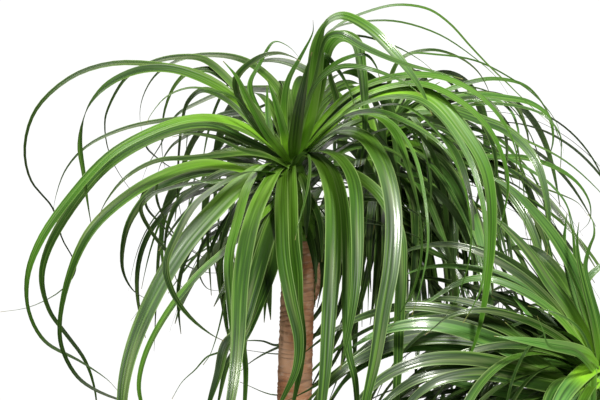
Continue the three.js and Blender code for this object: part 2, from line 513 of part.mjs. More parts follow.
function turned(side, along, angle) {
  const edge = new THREE.Vector3().crossVectors(along, side);
  return side.clone().multiplyScalar(Math.cos(angle)).addScaledVector(edge, Math.sin(angle));
}

function tracedBlade(head, [, toward, width, turns, pixels], order, bend) {
  const flat = [];
  for (let index = 0; index < pixels.length; index += 2) {
    flat.push(new THREE.Vector2(pixels[index], pixels[index + 1]));
  }
  const run = [0];
  for (let index = 1; index < flat.length; index += 1) {
    run.push(run[index - 1] + flat[index].distanceTo(flat[index - 1]));
  }
  const rootDepth = head.depth - clamp(toward * ROOT_SPREAD.share, -ROOT_SPREAD.most, ROOT_SPREAD.most)
    + ROOT_SPREAD.step * (order % ROOT_SPREAD.steps);
  const places = flat.map(({ x, y }, index) => {
    const share = run[index] / run[run.length - 1];
    return placeOf(x, y, rootDepth - (toward + bend) * (1 - (1 - share) ** 2));
  });
  const curve = new THREE.CatmullRomCurve3(places, false, 'centripetal');
  const handed = Math.sign(flat[0].x - flat[flat.length - 1].x) || 1;
  const turnAt = (share) => radians(listAt(turns, share)) * handed;
  const known = curve.getTangentAt(SEEN_SHARE);
  const facing = new THREE.Vector3().crossVectors(forward, known).normalize();
  const side = carried(curve, SEEN_SHARE, turned(facing, known, turnAt(SEEN_SHARE)));
  return bladeAlong(curve, width, (share, along) => (
    turned(side(share, along), along, turnAt(share) - turnAt(SEEN_SHARE))));
}

// A leaf of a rule: it leaves the stem at `lift` degrees, arches over and hangs.
function ruledLeaf(head, rule, index, draw) {
  const age = (index + 0.5) / rule.count;
  const share = (index * 0.618034 + draw(0, 0.12)) % 1;
  return {
    root: head.foot.clone().lerp(head.point, 0.94 - 0.8 * age),
    azimuth: mix(rule.arc[0], rule.arc[1], share),
    drift: draw(-45, 45),
    lift: mix(rule.lift[0], rule.lift[1], age) + draw(-7, 7),
    fall: draw(50, 108),
    bend: draw(0.75, 1.05),
    length: mix(rule.length[0], rule.length[1], draw(0, 1)),
    width: mix(rule.width[0], rule.width[1], draw(0, 1)),
    twist: draw(-60, 60),
  };
}

function ruledBlade(leaf, swing) {
  const steps = 24;
  const spots = [leaf.root.clone()];
  const heading = (share) => radians(leaf.azimuth + swing + leaf.drift * share * share);
  for (let step = 0; step < steps; step += 1) {
    const share = (step + 0.5) / steps;
    const rise = radians(mix(leaf.lift, -leaf.fall, smooth(clamp(share / leaf.bend, 0, 1))));
    const angle = heading(share);
    const move = new THREE.Vector3(
      Math.cos(rise) * Math.cos(angle), Math.cos(rise) * Math.sin(angle), Math.sin(rise));
    spots.push(spots[step].clone().addScaledVector(move, leaf.length / steps));
  }
  return bladeAlong(new THREE.CatmullRomCurve3(spots), leaf.width, (share, along) => {
    const angle = heading(share);
    const level = squareTo(along, new THREE.Vector3(Math.sin(angle), -Math.cos(angle), 0));
    return turned(level, along, radians(leaf.twist * share));
  });
}

// ---------------------------------------------------------------- heads

function tipRings(head) {
  const axis = new THREE.Vector3().subVectors(head.point, head.foot);
  return TIP.outline.map(([share, radius]) => {
    const middle = head.foot.clone().addScaledVector(axis, share);
    return Array.from({ length: TIP.sides }, (_, side) => {
      const angle = side / TIP.sides * Math.PI * 2;
      return middle.clone().add(new THREE.Vector3(Math.cos(angle) * radius, Math.sin(angle) * radius, 0));
    });
  });
}

function boxesMeet(one, other) {
  const a = one.boundingBox();
  const b = other.boundingBox();
  return [0, 1, 2].every((axis) => a.min[axis] < b.max[axis] + 1 && b.min[axis] < a.max[axis] + 1);
}

function isClear(blade, others) {
  return others.every((other) => !boxesMeet(blade, other) || blade.minGap(other, 1) > 2 * SEAT_GAP);
}

function crossings(blade, placed) {
  return placed.filter((other) => boxesMeet(blade, other) && !blade.intersect(other).isEmpty()).length;
}

// One head: its stem tip and every leaf, each bent to pass beside the leaves before it.
// A leaf that can't be bent clear of what stands beside the head is left out.
function growHead(head, traced, rules, others) {
  const tip = loft(tipRings(head));
  const blades = [];
  const outside = [];
  const settle = (bends, make) => {
    let best = null;
    let fewest = Infinity;
    for (const bend of bends) {
      const blade = make(bend);
      const shown = blade.subtract(tip);
      const count = isClear(blade, others) ? crossings(shown, outside) : Infinity;
      if (count < fewest) {
        best = { blade, shown };
        fewest = count;
      }
      if (fewest === 0) {
        break;
      }
    }
    if (best) {
      blades.push(best.blade);
      outside.push(best.shown);
    }
  };
  traced.forEach((leaf, order) => settle(BENDS.forward, (bend) => tracedBlade(head, leaf, order, bend)));
  rules.forEach((rule) => {
    const draw = draws(rule.seed);
    for (let index = 0; index < rule.count; index += 1) {
      const leaf = ruledLeaf(head, rule, index, draw);
      settle(BENDS.sideways, (bend) => ruledBlade(leaf, bend));
    }
  });
  return oneBody(Manifold.union([tip, ...blades]));
}

// ---------------------------------------------------------------- trunk

function roundRing(middle, radius, sides, along) {
  const side = new THREE.Vector3(0, 1, 0).cross(along).normalize();
  const front = new THREE.Vector3().crossVectors(along, side);
  return Array.from({ length: sides }, (_, index) => {
    const angle = index / sides * Math.PI * 2;
    return middle.clone()
      .addScaledVector(side, Math.cos(angle) * radius)
      .addScaledVector(front, Math.sin(angle) * radius);
  });
}

// A cane with the raised rings that fallen leaves left.
function cane(points) {
  const spots = points.map((point) => new THREE.Vector3(...point));
  const curve = new THREE.CatmullRomCurve3(spots, false, 'centripetal');
  const length = curve.getLength();
  const rings = Math.round(length / CANE.ringPitch);
  const sections = [];
  for (let ring = 0; ring <= rings * 2; ring += 1) {
    const share = ring / (rings * 2);
    const taper = smooth(clamp(share * length / CANE.taperLength, 0, 1));
    const flare = CANE.flare * (1 - smooth(clamp(share * length / CANE.flareLength, 0, 1)));
    const slow = mix(CANE.footRadius, CANE.topRadius + 4, taper) - 4 * share;
    const radius = slow + flare + (ring % 2 ? CANE.ringHeight : 0);
    const along = ring === rings * 2 ? new THREE.Vector3(0, 0, 1) : curve.getTangentAt(share);
    sections.push(roundRing(curve.getPointAt(share), radius, CANE.sides, along));
  }
  return loft(sections);
}

function swollenBase() {
  const soilLine = BASE.profile[1][0];
  return loft(BASE.profile.map(([height, radius]) => (
    Array.from({ length: BASE.sides }, (_, side) => {
      const angle = side / BASE.sides * Math.PI * 2;
      const lobe = height > soilLine ? 1 + BASE.lobeDepth * Math.cos(BASE.lobes * angle + height / 30) : 1;
      return new THREE.Vector3(Math.cos(angle) * radius * lobe, Math.sin(angle) * radius * lobe, height);
    }))));
}

// ---------------------------------------------------------------- pot and soil

// Inner radius of the pot at a height.
function potInside(height) {
  return mix(POT.footRadius, POT.rimRadius - POT.bandStep, height / POT.height) - POT.wall;
}

function pot() {
  const band = POT.height - POT.bandHeight;
  const outside = (height) => potInside(height) + POT.wall;
  const profile = [
    [0, 0], [POT.footRadius - POT.edge, 0], [outside(POT.edge), POT.edge], [outside(band), band],
    [outside(band) + POT.bandStep, band + POT.edge], [POT.rimRadius, POT.height - POT.edge],
    [POT.rimRadius - POT.edge, POT.height], [potInside(POT.height) + POT.edge, POT.height],
    [potInside(POT.height), POT.height - POT.edge], [potInside(POT.floor), POT.floor], [0, POT.floor],
  ];
  const body = solidOf(new THREE.LatheGeometry(profile.map((point) => new THREE.Vector2(...point)), POT.sides)
    .rotateX(Math.PI / 2));
  return Array.from({ length: POT.drains }, (_, index) => {
    const angle = (index + 0.5) / POT.drains * Math.PI * 2;
    return solidOf(new THREE.CylinderGeometry(POT.drainRadius, POT.drainRadius, POT.floor * 4, 16)
      .rotateX(Math.PI / 2)
      .translate(Math.cos(angle) * POT.drainRing, Math.sin(angle) * POT.drainRing, 0));
  }).reduce((left, drain) => left.subtract(drain), body);
}

// The soil fills the pot and has a plain round hole that the swollen base stands in.
function soil() {
  const draw = draws(5);
  const level = POT.height - SOIL.depthBelowRim;
  const floor = POT.floor + SEAT_GAP;
  const baseRadius = BASE.profile[0][1];
  const ringAt = (radius, height) => Array.from({ length: SOIL.sides }, (_, side) => {
    const angle = side / SOIL.sides * Math.PI * 2;
    return new THREE.Vector3(Math.cos(angle) * radius, Math.sin(angle) * radius, height);
  });
  const rings = [ringAt(potInside(floor) - SEAT_GAP, floor), ringAt(potInside(level) - SEAT_GAP, level)];
  for (let ring = 1; ring <= SOIL.rings; ring += 1) {
    const share = ring / SOIL.rings;
    const radius = mix(potInside(level) - SEAT_GAP, baseRadius * 0.8, share);
    rings.push(ringAt(radius, level + SOIL.dome * smooth(share)).map((point) => (
      point.add(new THREE.Vector3(0, 0, draw(-SOIL.crumb, SOIL.crumb))))));
  }
  const holeRadius = baseRadius + SEAT_GAP;
  const hole = loft([ringAt(holeRadius, SOIL.holeFloor), ringAt(holeRadius, POT.height)]);
  return oneBody(loft(rings).subtract(hole));
}

// ---------------------------------------------------------------- the plant

const trunk = oneBody(Manifold.union([swollenBase(), cane(CANE.main), cane(CANE.rear), cane(CANE.low)]));

Object.values(HEADS).forEach((head) => {
  head.point = placeOf(...head.pixel, head.depth);
  head.foot = new THREE.Vector3(...head.cane[head.cane.length - 1]).add(new THREE.Vector3(0, 0, SEAT_GAP));
});

const mainTraced = [...MAIN_LEFT, ...MAIN_FRONT, ...MAIN_TOP, ...MAIN_RIGHT];
const mainCrown = growHead(HEADS.main, mainTraced, HIDDEN.main, [trunk]);
const lowCrown = growHead(HEADS.low, LOW_TRACED, HIDDEN.low, [trunk, mainCrown]);
const rearCrown = growHead(HEADS.rear, REAR_TRACED, HIDDEN.rear, [trunk, mainCrown, lowCrown]);

const leafGreen = new THREE.MeshStandardMaterial({ color: COLOURS.leaf, roughness: 0.35, metalness: 0 });
const leafCool = new THREE.MeshStandardMaterial({ color: COLOURS.leafCool, roughness: 0.35, metalness: 0 });
const bark = new THREE.MeshStandardMaterial({ color: COLOURS.bark, roughness: 0.75, metalness: 0 });
const clay = new THREE.MeshStandardMaterial({ color: COLOURS.clay, roughness: 0.9, metalness: 0 });
const earth = new THREE.MeshStandardMaterial({ color: COLOURS.soil, roughness: 1, metalness: 0 });

const palm = new THREE.Group();
palm.add(
  meshOf('pot', pot(), clay),
  meshOf('soil', soil(), earth),
  meshOf('trunk', trunk, bark),
  meshOf('main_crown_leaves', mainCrown, leafGreen),
  meshOf('rear_crown_leaves', rearCrown, leafCool),
  meshOf('low_crown_leaves', lowCrown, leafCool),
);

export default palm;
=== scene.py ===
"""A potted ponytail palm: three heads of long strap leaves on ringed canes, a swollen base and a clay pot.

Sizes are in millimetres until a mesh is made. The viewer stands at -Y.
"""

import math

import bmesh
import bpy
import numpy as np
from mathutils.bvhtree import BVHTree
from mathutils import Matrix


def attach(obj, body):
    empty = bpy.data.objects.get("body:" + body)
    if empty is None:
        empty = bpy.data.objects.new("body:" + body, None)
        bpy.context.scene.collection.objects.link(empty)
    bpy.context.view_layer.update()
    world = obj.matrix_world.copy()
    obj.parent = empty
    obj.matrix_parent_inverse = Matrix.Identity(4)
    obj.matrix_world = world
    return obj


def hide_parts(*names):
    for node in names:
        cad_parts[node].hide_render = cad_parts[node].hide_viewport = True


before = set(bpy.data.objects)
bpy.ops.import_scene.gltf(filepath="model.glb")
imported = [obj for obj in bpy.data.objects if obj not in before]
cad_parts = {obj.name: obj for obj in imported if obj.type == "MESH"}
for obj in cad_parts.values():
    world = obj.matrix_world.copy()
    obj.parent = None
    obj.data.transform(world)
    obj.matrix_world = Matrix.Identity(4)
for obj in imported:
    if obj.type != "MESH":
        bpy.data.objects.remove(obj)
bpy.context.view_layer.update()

MM = 0.001

# ---------------------------------------------------------------- the picture's view

PICTURE_WIDTH, PICTURE_HEIGHT = 600, 400
PICTURE_SCALE = 1.1       # mm to a pixel at the main head
VIEW_DISTANCE = 2500
VIEW_PITCH = math.radians(6)
PICTURE_MIDDLE = np.array([-61.0, -60.0, 906.0])
FOCAL_PIXELS = VIEW_DISTANCE / PICTURE_SCALE
SENSOR_WIDTH = 36
VIEW_REACH = 300          # metres

FORWARD = np.array([0, math.cos(VIEW_PITCH), -math.sin(VIEW_PITCH)])
UPWARD = np.array([0, math.sin(VIEW_PITCH), math.cos(VIEW_PITCH)])
EYE = PICTURE_MIDDLE - FORWARD * VIEW_DISTANCE


def place_of(pixel_x, pixel_y, depth):
    """The place at a given depth (mm along Y) that the picture shows at a pixel."""
    ray = FORWARD + UPWARD * (PICTURE_HEIGHT / 2 - pixel_y) / FOCAL_PIXELS
    ray = ray + np.array([(pixel_x - PICTURE_WIDTH / 2) / FOCAL_PIXELS, 0, 0])
    return EYE + ray * (depth - EYE[1]) / ray[1]


def look_through_camera():
    lens = bpy.data.cameras.new("picture_view")
    lens.sensor_width = SENSOR_WIDTH
    lens.lens = SENSOR_WIDTH * FOCAL_PIXELS / PICTURE_WIDTH
    lens.clip_end = VIEW_REACH
    camera = bpy.data.objects.new("picture_view", lens)
    camera.location = EYE * MM
    camera.rotation_euler = (math.radians(90) - VIEW_PITCH, 0, 0)
    bpy.context.scene.collection.objects.link(camera)
    bpy.context.scene.camera = camera


look_through_camera()

# ---------------------------------------------------------------- driving dimensions

# Middle line of each cane, from inside the swollen base to where its leaves begin.
CANES = {
    "main": [(-32, -20, 300), (-58, -48, 415), (-68, -60, 560), (-66.7, -60, 703), (-63.5, -60, 812),
             (-62, -60, 862)],
    "rear": [(-6, 34, 300), (-40, 92, 420), (-66, 140, 560), (-66, 176, 680), (-62, 190, 755),
             (-36, 198, 800), (8, 200, 834), (46, 200, 876)],
    "low": [(38, -12, 300), (98, -30, 388), (182, -48, 470), (243, -58, 556), (266, -60, 634)],
}
# A cane's radius goes from CANE_FOOT to CANE_TOP over its first CANE_TAPER and loses CANE_LOSS along the
# whole cane. Its foot flares out by CANE_FLARE over FLARE_LENGTH.
CANE_FOOT, CANE_TOP, CANE_TAPER, CANE_LOSS, CANE_FLARE, FLARE_LENGTH = 29, 21.6, 260, 4, 20, 130

# Growing point of each head in the picture, and how far back it stands.
HEADS = {
    "main": {"pixel": (292, 160), "depth": -60},
    "rear": {"pixel": (378, 140), "depth": 200},
    "low": {"pixel": (600, 372), "depth": -60},
}
SEAT_GAP = 0.3
for label, head in HEADS.items():
    head["point"] = place_of(*head["pixel"], head["depth"])
    head["foot"] = np.array(CANES[label][-1], float) + (0, 0, SEAT_GAP)

# A leaf is narrower at its root, is full width at ROOT_LENGTH of its length, then tapers to a thread.
ROOT_WIDTH, ROOT_LENGTH, TAPER_POWER, THREAD_WIDTH = 0.62, 0.2, 2.6, 0.9
# Leaf roots stand in depth layers in the stem tip.
ROOT_SHARE, ROOT_MOST, ROOT_STEP, ROOT_STEPS = 0.1, 14, 0.9, 7
# Share of a leaf's length where its turn is read from the picture.
SEEN_SHARE = 0.5
# How far a leaf may be bent to pass its neighbours: forward (mm) or sideways (degrees).
FORWARD_BENDS = (0, 18, -18, 36, -36, 54, -54, 72, -72)
SIDEWAYS_BENDS = (0, 8, -8, 16, -16, 24, -24, 32, -32)

# Leaves as the picture shows them: name, how far the end comes towards the viewer (mm), full width (mm),
# turns along it (degrees from facing the viewer; 90 is edge-on with the upper side up), then its middle line
# as x,y pairs in pixels.
MAIN_LEFT = [
    ("left_thread_high_dark", -60, 9, [50], "291,160 260,125 230,92 200,74 160,65 110,64 70,78 36,110 25,147 "
     "31,180 53,208 62,238 76,268 63,289 30,307 0,312"),
    ("left_twisted", 60, 12, [30, 30, 35, 35, 35, 35, 45, 85, 20, 20, 35], "291,161 262,126 230,95 200,78 "
     "170,69 140,70 110,83 92,101 84,118 80,145 84,175 88,205 92,229"),
    ("left_arch_dark_thin", -120, 10, [50], "291,160 262,120 240,92 205,60 180,57 154,62 127,77 107,112 "
     "105,127 108,148 115,166 131,190 150,208 165,224"),
    ("left_arch_dark", -160, 11, [50], "291,160 286,120 280,92 260,70 240,59 215,55 185,58 158,73 145,92 "
     "140,113 144,138 156,157 168,168"),
    ("left_arch_faint", 100, 5, [60], "290,160 260,125 235,98 212,90 188,88 166,97 150,116 147,123"),
    ("left_hook", -90, 10, [30], "290,160 262,120 238,90 226,79 210,70 200,70 186,74 174,87 166,106 163,121 "
     "162,150 165,168"),
    ("left_drop_inner_dark", -60, 10, [55], "290,162 265,135 250,120 228,100 203,90 188,102 182,125 179,155 "
     "178,195 184,230"),
    ("left_drop_dark", -140, 13, [50], "291,160 299,125 297,101 285,92 255,89 225,92 198,103 176,116 160,146 "
     "148,165 141,183"),
    ("left_short_bright", 60, 10, [15], "291,164 265,130 246,95 236,76 223,61"),
    ("left_short_dark", 150, 11, [55], "290,168 265,155 242,150 215,138 190,134 172,137"),
    ("left_level_dark", 110, 9, [45], "291,163 250,153 220,155 190,158 160,160 138,169 120,183 105,203 "
     "99,216"),
    ("left_thread_low_dark", -40, 9, [50], "291,162 262,140 230,125 200,119 160,121 120,130 86,147 65,171 "
     "54,205 54,212"),
    ("left_shade_arch", -70, 13, [50], "291,160 276,132 262,118 250,113 220,116 195,131 172,146 160,166 "
     "157,178"),
    ("left_long_bright", 90, 14, [32, 34, 42, 46, 42, 38, 58, 40, 50], "291,163 270,146 248,128 220,119 "
     "190,119 150,132 110,155 70,198 41,240 28,275 29,311 45,341 80,361 108,380 118,391"),
    ("left_long_dull", 40, 15, [35, 38, 42, 38, 38, 52, 40, 45], "291,166 270,152 245,140 215,127 185,128 "
     "145,142 105,168 73,206 48,250 42,280 50,311 64,331 85,360 95,390 98,430"),
    ("left_long_middle", 110, 15, [35, 32, 28, 38, 62, 55, 55], "291,176 262,178 235,168 205,164 165,175 "
     "125,198 90,232 69,278 60,325 63,350 80,379 112,397 140,403 165,408"),
    ("left_broad", 170, 20, [8, 5, 5, 10, 25], "290,178 262,170 240,185 210,215 182,248 156,292 134,343 "
     "124,383 122,420 126,460 133,495"),
    ("left_curled_dark", 150, 13, [55, 50, 50, 60], "290,180 265,172 245,173 220,185 195,205 178,233 166,265 "
     "173,293 190,317 212,335 224,341"),
    ("left_inner_dark_1", 60, 13, [45, 50, 60], "290,178 255,170 225,172 200,186 180,200 169,222 165,247 "
     "167,267"),
    ("left_inner_dark_2", 20, 14, [50, 40, 50], "289,182 240,172 205,172 175,180 152,192 132,217 124,240 "
     "123,270 133,290 148,300"),
    ("left_inner_dark_3", 90, 9, [60], "290,184 235,180 180,186 150,196 141,208 153,234 169,253 177,281 "
     "183,288"),
    ("left_inner_dark_4", -60, 8, [60], "289,190 235,176 180,174 158,182 161,210 170,233 180,241"),
    ("left_shade_short", -100, 13, [45], "290,172 250,170 220,170 195,175 182,187 183,195"),
    ("left_loop_dark", -20, 9, [50], "288,200 255,210 228,226 205,241 198,266 207,288 226,291"),
    ("left_sweep_low", 190, 12, [45, 50, 60], "289,190 262,215 226,250 200,273 170,309 146,353 139,385 "
     "143,410 150,440 158,470"),
]
MAIN_FRONT = [
    ("front_left_bright", 200, 13, [30], "290,170 275,163 262,167 249,184 238,220 229,260 232,310 236,350 "
     "234,380 228,412 222,445 218,478"),
    ("front_left_broad", 274, 19, [15], "290,172 280,168 264,192 251,225 241,280 238,340 234,380 228,415 "
     "220,450 214,485"),
    ("front_left_late", 150, 10, [40], "290,190 270,215 252,265 243,335 246,370 245,400 243,435 240,470"),
    ("front_left_shade_1", 150, 19, [25], "290,195 278,212 264,250 251,295 240,330 226,345 218,375 210,400 "
     "202,430"),
    ("front_left_shade_2", 110, 14, [35], "291,205 280,228 275,262 261,300 246,335 235,352 227,365 220,395 "
     "214,420"),
    ("front_pair_plain_1", 130, 17, [25], "291,169 287,165 284,171 282,190 282,220 284,260 291,300 299,340 "
     "296,370 283,398 269,425"),
    ("front_pair_plain_2", 120, 16, [30], "293,168 292,164 292,172 292,200 293,240 297,275 298,305 302,340 "
     "300,370 294,400 288,425"),
    ("front_middle_thin", 70, 6, [50], "295,190 300,230 301,260 301,290 303,320"),
    ("front_right_broad", 180, 20, [22], "295,168 300,155 318,160 331,190 333,250 329,310 325,370 322,400 "
     "319,440 316,480"),
    ("front_right_gloss", 150, 14, [35], "296,168 310,152 332,168 343,200 347,260 346,300 348,350 355,380 "
     "357,412 356,445 353,478"),
    ("front_right_inner", 170, 17, [25], "296,163 308,152 335,155 352,177 357,230 355,290 347,340 340,370"),
    ("front_right_arch", 190, 20, [15], "295,163 318,143 342,131 365,138 383,165 393,210 391,265 383,310 "
     "375,360 366,400 358,440 352,475"),
    ("front_right_outer", 100, 15, [25], "297,180 340,170 375,190 398,230 401,270 399,320 397,380 393,420 "
     "388,455 383,488"),
    ("right_shallow_young", 130, 9, [50], "294,161 306,150 325,133 345,117 375,111 405,121 436,140 452,158 "
     "462,178"),
    ("right_twisted_young", 150, 15, [25, 35, 80, 60], "294,161 320,132 345,115 372,113 393,130 410,175 "
     "420,220 421,255 413,290 403,308 391,328"),
    ("right_thread", 60, 5, [60], "294,161 340,120 380,112 404,124 423,149 431,190 422,232 401,271"),
    ("front_behind_dark", -10, 9, [40], "295,185 308,200 317,228 321,255 322,280 317,308"),
]
MAIN_TOP = [
    ("top_tall_bright", 90, 19, [10, 10, 10, 10, 14, 72, 70, 55, 45, 45, 45], "293,162 303,138 313,88 320,38 "
     "328,22 342,16 370,29 396,55 414,78 424,95 432,115"),
    ("top_dark", 100, 15, [15], "293,160 295,140 300,105 306,75 312,52"),
    ("top_spear_young", -40, 12, [40, 60], "291,162 286,150 284,120 288,82 303,53 313,32 313,20"),
    ("top_young_lime_1", 30, 10, [15], "291,164 284,132 275,100 267,79"),
    ("top_young_lime_2", -30, 9, [20], "291,163 274,145 268,115 267,85"),
    ("top_young_3", -50, 5, [50], "292,160 287,120 284,105 283,88"),
    ("top_arch_left_1", -80, 9, [35], "290,160 262,118 250,85 260,64 274,42 286,45 297,55 303,66"),
    ("top_arch_left_dark", 60, 10, [42], "290,160 250,118 236,80 258,58 278,53 293,57 300,61"),
    ("top_right_dark", -40, 11, [45], "294,160 320,130 337,107 330,75 325,43"),
]
MAIN_RIGHT = [
    ("right_arch_highest", 20, 9, [65, 65, 60], "294,159 303,100 315,60 335,28 380,8 405,5 430,10 450,24 "
     "470,46 490,67 508,84 520,96 550,124"),
    ("right_arch_second", 60, 7, [65], "294,159 310,90 325,36 340,26 370,21 400,22 440,35 476,59 497,78 "
     "508,94"),
    ("right_arch_third", 100, 10, [60], "294,160 315,80 327,38 340,34 364,47 402,63 432,71 463,79"),
    ("right_arch_thin", 40, 6, [65], "294,160 322,90 333,47 352,36 392,45 420,60 432,70"),
    ("right_hanging_bright", 60, 14, [10], "294,160 318,95 330,45 342,36 356,42 362,70 365,105 364,140 "
     "360,165"),
    ("right_inner_1", 30, 8, [55], "295,160 310,95 323,55 338,70 349,89 355,108"),
    ("right_inner_2", 80, 9, [55], "295,160 305,110 320,78 342,60 366,55 376,66 380,80"),
    ("right_inner_3", 110, 9, [58], "295,160 303,115 315,85 340,67 370,69 407,84 420,94"),
    ("right_far_lime", 60, 11, [40, 50], "295,161 315,129 350,94 394,77 441,77 480,96 505,125 516,152 "
     "516,172"),
    ("right_long_lime", 100, 11, [45, 50], "295,162 325,127 360,98 398,85 427,85 460,101 486,125 502,155 "
     "508,185 502,220 495,242"),
    ("right_broad_lime", 150, 17, [30, 30, 40], "296,163 320,137 350,109 380,93 412,90 436,99 464,131 "
     "484,165 491,199 491,245 486,290 480,325 470,355 455,380"),
    ("right_second_plain", 50, 11, [35], "295,162 340,108 376,88 405,90 431,109 465,147 479,172"),
    ("right_bright_strand", 80, 5, [50], "294,162 350,118 400,105 440,135 462,180 471,225 469,260 462,285 "
     "454,303 440,322"),
]
REAR_TRACED = [
    ("rear_arch_dark", -20, 10, [60], "379,142 385,100 400,60 430,50 458,57 478,72 490,95 492,110"),
    ("rear_arch_thin", 20, 7, [65], "379,141 390,85 405,56 440,55 476,61 507,76 533,94 556,122 564,153"),
    ("rear_arch_level", -40, 12, [60], "380,142 420,105 465,84 496,79 527,87 548,113 561,147 561,167"),
    ("rear_arch_broad", 60, 15, [45, 50, 60], "381,143 425,110 472,96 505,98 530,103 548,116 553,135 551,150 "
     "543,165"),
    ("rear_drop_dark", 30, 12, [35], "380,142 420,105 470,95 500,97 515,105 526,128 530,152"),
    ("rear_far_thread", 100, 6, [55], "381,143 450,118 500,128 529,142 552,153 572,166 600,192 618,215"),
    ("rear_hanging_bright", 210, 22, [25, 20], "381,144 395,140 421,150 456,184 479,245 488,298 492,325 "
     "493,348"),
    ("rear_right_broad", 170, 15, [30], "381,143 405,117 440,108 481,120 509,132 535,160 547,200 549,228 "
     "547,255"),
    ("rear_far_arch", 60, 12, [50, 50, 65], "381,145 430,150 487,157 525,158 560,170 580,186 590,205 589,222 "
     "577,234"),
    ("rear_far_dark", 0, 9, [60], "381,145 440,155 500,172 545,189 562,195 578,203 588,216"),
    ("rear_far_thin", 90, 7, [50], "381,145 440,140 500,155 533,172 550,184 565,202 573,225 577,250"),
    ("rear_fan_1", 80, 9, [40], "380,141 390,115 403,91 420,72"),
    ("rear_fan_2", 100, 9, [45], "380,142 400,111 415,97 440,82"),
    ("rear_fan_3", 120, 9, [45], "380,143 405,117 432,112 460,118 478,140"),
    ("rear_hanging_plain", 190, 13, [30], "381,145 398,152 420,166 438,182 453,206 466,235 477,263 485,292 "
     "489,322 490,352"),
    ("rear_shade_drop_1", 90, 13, [40], "381,150 390,178 402,194 420,203 440,211 454,223 462,240 466,265 "
     "468,300"),
    ("rear_dull_drop_2", 160, 13, [35], "381,152 388,195 400,215 415,226 428,236 440,248 450,264 457,290 "
     "460,320"),
    ("rear_shade_drop_3", 60, 9, [45], "381,148 400,175 415,198 428,212 440,221 448,234 453,250 455,275"),
    ("rear_shade_drop_4", 170, 15, [35], "381,155 386,208 398,228 414,242 432,252 450,261 464,275 470,300"),
    ("rear_far_drop_1", 40, 6, [50], "381,146 430,152 470,165 500,190 512,206 526,224 537,244 541,258"),
    ("rear_far_drop_2", 0, 7, [55], "381,147 430,165 480,208 505,231 525,239 550,240"),
    ("rear_far_drop_3", 30, 8, [50], "381,144 440,125 500,140 522,170 529,200 531,225 530,252"),
    ("rear_far_drop_4", 80, 6, [50], "381,150 440,190 500,238 530,252 548,257 564,267"),
    ("rear_dark_strand", 120, 8, [40], "381,146 430,160 470,200 488,250 493,300 493,335"),
    ("rear_cover_dark", 200, 15, [30], "381,152 383,180 382,215 379,250 375,290 370,325"),
    ("rear_cover_shade", 170, 13, [35], "380,153 375,185 371,218 369,252 371,292"),
]
